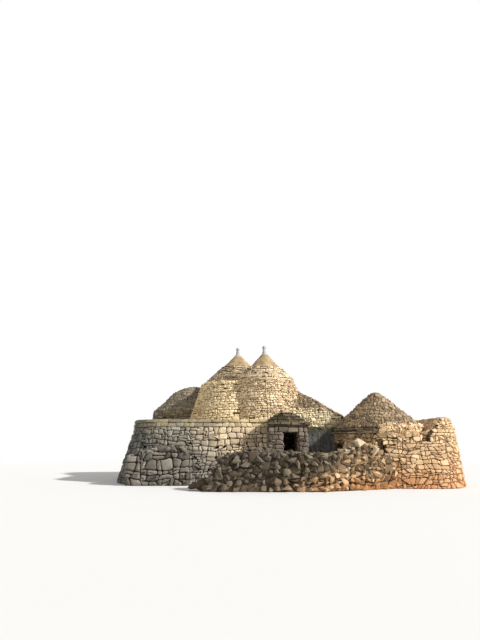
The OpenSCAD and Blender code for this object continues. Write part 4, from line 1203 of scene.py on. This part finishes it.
for name, seed, x, half, low, high, front in (
        ("slot_back_stones", 76, *SLOT, RIGHT_AXIS.y - RIGHT_R),
        ("notch_back_stones", 77, NOTCH_X, NOTCH_HALF, NOTCH_LOW, RIGHT_TOP, END_FRONT)):
    clad(name, RUBBLE, seed, flat_wall((x - half, front + RECESS_DEPTH, low), (1, 0, 0)),
         (2 * half, high - low, 0.12, 0.15), dict(wander=0.2), RUBBLE_LOOK, proud=0.03, roughness=0.008)

shoulder = Turned(RIGHT_AXIS, [(1.85, RIGHT_TOP - 0.07), (1.965, RIGHT_TOP + 0.03),
                               (1.945, RIGHT_EAVE_HIGH + 0.03), (1.72, RIGHT_EAVE_HIGH + 0.22)])
shoulder.clad("shoulder_rubble", RUBBLE, 75, 0.13, 0.165, RUBBLE_LOOK, lambda p: not under_rubble(p),
              dict(wander=0.3, slant=0.55, wave=0.6), sink=0.1)

edge_start = right_line.run_to(4.45, END_FRONT)
edge_end = right_line.run_to(NOTCH_LEFT, END_FRONT)
clad("terrace_edge_stones", RUBBLE, 79, right_line.shifted(edge_start, RIGHT_TOP - 0.01, 0),
     (edge_end - edge_start, 0.27, 0.135, 0.18), dict(wander=0.3, slant=0.5), RUBBLE_LOOK, sink=0.3,
     uneven=0.1)

rng = random.Random(73)
bed = rustic_bed(crest_line.length, CREST_H, 0.13, 0.17, rng, 0.3, 0.55, 0.1, 0.5, 1.0)
bed.cut_borders(crest_line.run_to(NOTCH_LEFT, -4.2), crest_line.run_to(NOTCH_RIGHT, -4.2), -1, 1)
bm = lay(bed, crest_line.at, rng, lambda p: p.z > crest_top(p) - 0.04 or in_notch(p), **RUBBLE_LOOK)
piece(bm, "crest_rubble", RUBBLE)
clad("right_terrace_paving", RUBBLE, 78, right_terrace, (3.2, 4.6, 0.17, 0.2),
     dict(wander=0.3, slant=0.5), RUBBLE_LOOK, off_right_terrace, proud=0.025)

heap = Heap(74)
for i in range(30):
    for j in range(27):
        x = TERRACE_LEFT + i * 0.108 + heap.draw(-0.04, 0.04)
        spot = Vector((x, -4.15 + j * 0.165 + heap.draw(-0.05, 0.05), 0))
        if not off_right_terrace(spot) and (abs(spot.x - NOTCH_X) > NOTCH_HALF + 0.1 or spot.y > -3.75):
            heap.add((spot.x, spot.y, crest_top(spot) - 0.01), heap.draw(0.17, 0.28), 0.55)
heap.show("right_terrace_rubble", 0.01, RUBBLE)


# Yard wall: irregular blocks packed on its faces and tumbled over its top

YARD_SHAPE = ((0.0, 0.3), (0.035, 0.576), (0.084, 0.944), (0.144, 1.016), (0.27, 1.0), (0.49, 1.0),
              (0.62, 0.944), (0.733, 1.08), (0.792, 1.248), (0.9, 1.2), (0.95, 0.8), (1.0, 0.5))
YARD_T = 0.72
YARD_H = 1.25
YARD_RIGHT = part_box("yard_wall")[1].x
YARD_BEND = Vector((1.2, YARD_FRONT))
YARD_END = Vector((4.15, -4.17))
YARD_STRETCHES = ((Vector((YARD_LEFT, YARD_FRONT)), YARD_BEND), (YARD_BEND, YARD_END))
YARD_BED = dict(wander=0.34, slant=0.65, split=0.14, wave=0.9, panel=0.8)
YARD_LOOK = dict(joint=0.034, proud=0.012, sink=0.06, soft=0.04, swell=0.018, corners=17, uneven=0.1,
                 roughness=0.03)
LOW_END_X = 3.2  # from here on its top stones are kept low


def yard_top(x):
    """Height of the yard wall at a place along it."""
    run = min(max((x - YARD_LEFT) / (YARD_RIGHT - YARD_LEFT), 0.0), 1.0)
    return YARD_H * along_shape(run, YARD_SHAPE)


def in_right_mass(x, y, z, grow=0.0):
    return (Vector((x, y)) - RIGHT_AXIS).length < RIGHT_R - RIGHT_LEAN * z + grow


def off_yard_wall(point):
    return point.z > yard_top(point.x) - 0.07 or in_right_mass(point.x, point.y, point.z, -0.02)


for number, (start, end) in enumerate(YARD_STRETCHES):
    along = end - start
    shift = Vector((-along.y, along.x)).normalized() * YARD_T
    size = (along.length, 1.62, 0.25, 0.34)
    for side, corner, way, seed in (("front", start, along, 81), ("back", end + shift, -along, 82)):
        clad(f"yard_{side}_stones_{number + 1}", PACKED_STONE, seed + 2 * number,
             flat_wall((corner.x, corner.y, 0), way.to_3d()), size, YARD_BED, YARD_LOOK, off_yard_wall, YARD)

heap = Heap(86)
for start, end in YARD_STRETCHES:
    along = (end - start).normalized()
    back = Vector((-along.y, along.x))
    u = 0.06
    while u < (end - start).length:
        for depth in (0.06, 0.28, 0.48, 0.68):
            spot = start + along * (u + heap.draw(-0.07, 0.07)) + back * (depth + heap.draw(-0.05, 0.05))
            size = heap.draw(0.24, 0.46)
            top = yard_top(spot.x)
            if not in_right_mass(spot.x, spot.y, top, 0.05):
                lift, size = (heap.draw(-0.08, 0.03), size) if spot.x < LOW_END_X else (-0.1, 0.24)
                heap.add((spot.x, spot.y, top + lift), size, 0.75, 10, lean=1.0)
        u += 0.205
for start, end in YARD_STRETCHES:
    along = (end - start).normalized()
    back = Vector((-along.y, along.x))
    for side in (0, 1):
        z = 0.13
        while z < 1.6:
            u = heap.draw(0.0, 0.2)
            while u < (end - start).length:
                depth = heap.draw(-0.09, 0.04) + 0.04 * z
                spot = start + along * u + back * (YARD_T - depth if side else depth)
                size = heap.draw(0.2, 0.42) if spot.x > 0.5 else heap.draw(0.24, 0.48)
                if z < yard_top(spot.x) - 0.3 * size and not in_right_mass(spot.x, spot.y, z, 0.02):
                    heap.add((spot.x, spot.y, z + heap.draw(-0.05, 0.05)), size, 0.8, 9, lean=1.3)
                u += size * heap.draw(0.64, 0.9)
            z += heap.draw(0.175, 0.21)
for x, y, size in ((-1.3, -5.25, 0.42), (-1.02, -5.32, 0.46), (-0.74, -5.22, 0.36)):
    heap.add((x, y, yard_top(x) + 0.1), size, 0.8, 16, lean=0.9)
for depth, z, size in ((0.08, 0.13, 0.36), (0.3, 0.15, 0.42), (0.54, 0.13, 0.38), (0.2, 0.32, 0.34),
                       (0.46, 0.34, 0.34)):
    heap.add((YARD_LEFT + 0.02, YARD_FRONT + depth, z), size, 0.74, 14)
heap.show("yard_wall_boulders", 0.009, HEAP_STONE)

# Pale boulders and an upright stone at the right end of the yard wall
heap = Heap(87)
heap.add((2.6, -4.84, yard_top(2.6) + 0.12), 0.6, 0.7, 14, turn=0.2, lean=0.1)
heap.add((2.06, -5.06, yard_top(2.06) + 0.06), 0.24, 0.7, 14)
heap.add((2.36, -4.96, yard_top(2.36) + 0.05), 0.22, 0.6, 14)
heap.show("pale_boulders", 0.016, PALE_BOULDER)
heap = Heap(88)
heap.add((3.2, -4.72, 1.28), 0.45, 1.3, 9, turn=0.3, lean=0.12)
heap.show("upright_stone", 0.014, LOOSE_PALE)

# Boulders fallen from the left end
RESTING = 0.38  # height of a boulder's middle above the ground, as a share of its size
heap = Heap(89)
for x, y, size in ((-3.02, -5.12, 0.62), (-3.38, -4.98, 0.48), (-3.06, -4.76, 0.44), (-2.86, -5.38, 0.34)):
    heap.add((x, y, RESTING * size), size, 0.74, 14)
bm = heap.bm
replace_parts(piece(worn(bm, 0.016), "fallen_boulders", HEAP_STONE), "fallen_stones")


# Mortar caps

def mortar_cap(name, node, axis):
    """A trowelled cap over a cone, a little uneven, that ends under its pinnacle."""
    low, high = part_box(node)
    foot_r, height = (high.x - low.x) / 2, high.z - low.z
    tip_r = 0.113
    bends = ((foot_r + 0.05, -0.13), (foot_r + 0.14, -0.11), (foot_r + 0.03, 0.0),
             (foot_r * 0.55 + tip_r * 0.45, 0.46 * height), (foot_r * 0.19 + tip_r * 0.81, 0.81 * height),
             (tip_r, height), (0.03, height + 0.004))
    bm = bmesh.new()
    chain = [bm.verts.new((axis.x + r, axis.y, low.z + z)) for r, z in bends]
    for a, b in zip(chain, chain[1:]):
        bm.edges.new((a, b))
    long_edges = [edge for edge in bm.edges if edge.calc_length() > 0.15]
    bmesh.ops.subdivide_edges(bm, edges=long_edges, cuts=5)
    bmesh.ops.spin(bm, geom=bm.verts[:] + bm.edges[:], cent=(axis.x, axis.y, 0), axis=(0, 0, 1),
                   angle=FULL_TURN, steps=72, use_merge=True)
    bmesh.ops.remove_doubles(bm, verts=bm.verts[:], dist=1e-4)
    tone = layer(bm, "tone")
    for vert in bm.verts:
        vert[tone] = (vert.co.z - low.z) / height
        out = vert.co.xy - axis
        reach = min(1.0, out.length / 0.3)
        lump = noise.noise(vert.co * 4.5) * 0.018 + noise.noise(vert.co * 13) * 0.005
        vert.co.xy += out.normalized() * lump * reach
        if vert.co.z < low.z - 0.05:
            vert.co.z += 0.07 * noise.noise(vert.co * 5)
    bmesh.ops.holes_fill(bm, edges=[edge for edge in bm.edges if edge.is_boundary], sides=0)
    bmesh.ops.recalc_face_normals(bm, faces=bm.faces[:])
    obj = piece(bm, name, CAP_MORTAR, 60)
    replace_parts(obj, node)


mortar_cap("front_mortar_cap", "front_cap", FRONT_AXIS)
mortar_cap("rear_mortar_cap", "rear_cap", REAR_AXIS)


# Finishes of the solids that show between the stones and inside

OTHER_FINISHES = (
    (INNER_STONE, "cross_wall_left cross_wall_right left_room_wall alcove_wall alcove_vault"),
    (PALE_CORE, "front_drum front_cone rear_drum rear_haunch rear_cone left_drum left_dome"),
    (RED_CORE, "right_front_wall right_end_wall right_back_wall right_yard_wall right_end_crest"),
    (FLOOR_STONE, "stone_floors"), (PLASTER, "facade_wall"), (PORCH_STONE, "door_lintels"),
    (LIME, "front_pinnacle rear_pinnacle"), (CAP_MORTAR, "front_cap rear_cap"),
    (HEAP_STONE, "fallen_stones"),
)
finish_of = {node: finish for finish, nodes in OTHER_FINISHES for node in nodes.split()}
for node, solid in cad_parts.items():
    materials = solid.data.materials
    if not materials:
        materials.append(finish_of.get(node, CORE))
    for index in range(len(materials)):
        materials[index] = finish_of.get(node, CORE)


# Floor, light and camera

def studio_floor():
    """A pale floor that fades into the white background far from the house."""
    finish = Finish("studio_floor")
    distance = finish.add("VectorMath", {"operation": "LENGTH"}, {0: finish.place}, "Value")
    fade = distance.between(16.0, 42.0)
    finish.feed(finish.shader.inputs["Base Color"], (0.8, 0.79, 0.77))
    finish.shader.inputs["Roughness"].default_value = 0.9
    glow = finish.add("Emission", None, {"Color": (1, 1, 1), "Strength": 1.0})
    output = finish.tree.nodes["Material Output"]
    camera_ray = finish.add("LightPath", None, None, "Is Camera Ray")
    matt = Flow(finish, finish.shader.outputs[0])
    mixed = finish.add("MixShader", None, {0: fade * camera_ray, 1: matt, 2: glow})
    finish.feed(output.inputs["Surface"], mixed)
    return finish.material


bm = bmesh.new()
bmesh.ops.create_circle(bm, cap_ends=True, segments=96, radius=70.0)
floor_mesh = bpy.data.meshes.new("floor")
bm.to_mesh(floor_mesh)
bm.free()
floor_mesh.materials.append(studio_floor())
floor = bpy.data.objects.new("floor", floor_mesh)
bpy.context.scene.collection.objects.link(floor)

SKY_ON_HOUSE, SKY_SEEN = 0.42, 1.0
world = bpy.data.worlds.new("studio")
bpy.context.scene.world = world
world.use_nodes = True
nodes, links = world.node_tree.nodes, world.node_tree.links
path = nodes.new("ShaderNodeLightPath")
shown = nodes.new("ShaderNodeMath")
shown.operation = "MAXIMUM"
links.new(path.outputs["Is Camera Ray"], shown.inputs[0])
links.new(path.outputs["Is Glossy Ray"], shown.inputs[1])
level = nodes.new("ShaderNodeMapRange")
level.inputs["To Min"].default_value = SKY_ON_HOUSE
level.inputs["To Max"].default_value = SKY_SEEN
links.new(shown.outputs[0], level.inputs["Value"])
links.new(level.outputs[0], nodes["Background"].inputs["Strength"])
nodes["Background"].inputs["Color"].default_value = (1, 1, 1, 1)


def lamp(name, azimuth, elevation, strength, spread):
    """A soft distant lamp. Azimuth 0 lights the front, 90 the right end."""
    data = bpy.data.lights.new(name, "SUN")
    data.energy = strength
    data.angle = math.radians(spread)
    obj = bpy.data.objects.new(name, data)
    obj.rotation_euler = (math.radians(90 - elevation), 0, math.radians(azimuth))
    bpy.context.scene.collection.objects.link(obj)


lamp("key_lamp", 64, 30, 4.7, 3)
lamp("fill_lamp", -30, 40, 0.15, 60)

# The photo's camera: 480 px of focal length for 640 px of height, held at eye height and tilted up
EYE = (-1.7, -22.8, 1.55)
TILT = 14.6
camera_data = bpy.data.cameras.new("camera")
camera_data.sensor_fit = "AUTO"
camera_data.sensor_width = 36
camera_data.lens = 27
camera_data.clip_end = 500
camera = bpy.data.objects.new("camera", camera_data)
camera.location = EYE
camera.rotation_euler = (math.radians(90 + TILT), 0, 0)
bpy.context.scene.collection.objects.link(camera)
bpy.context.scene.camera = camera
bpy.context.scene.view_settings.view_transform = "Standard"
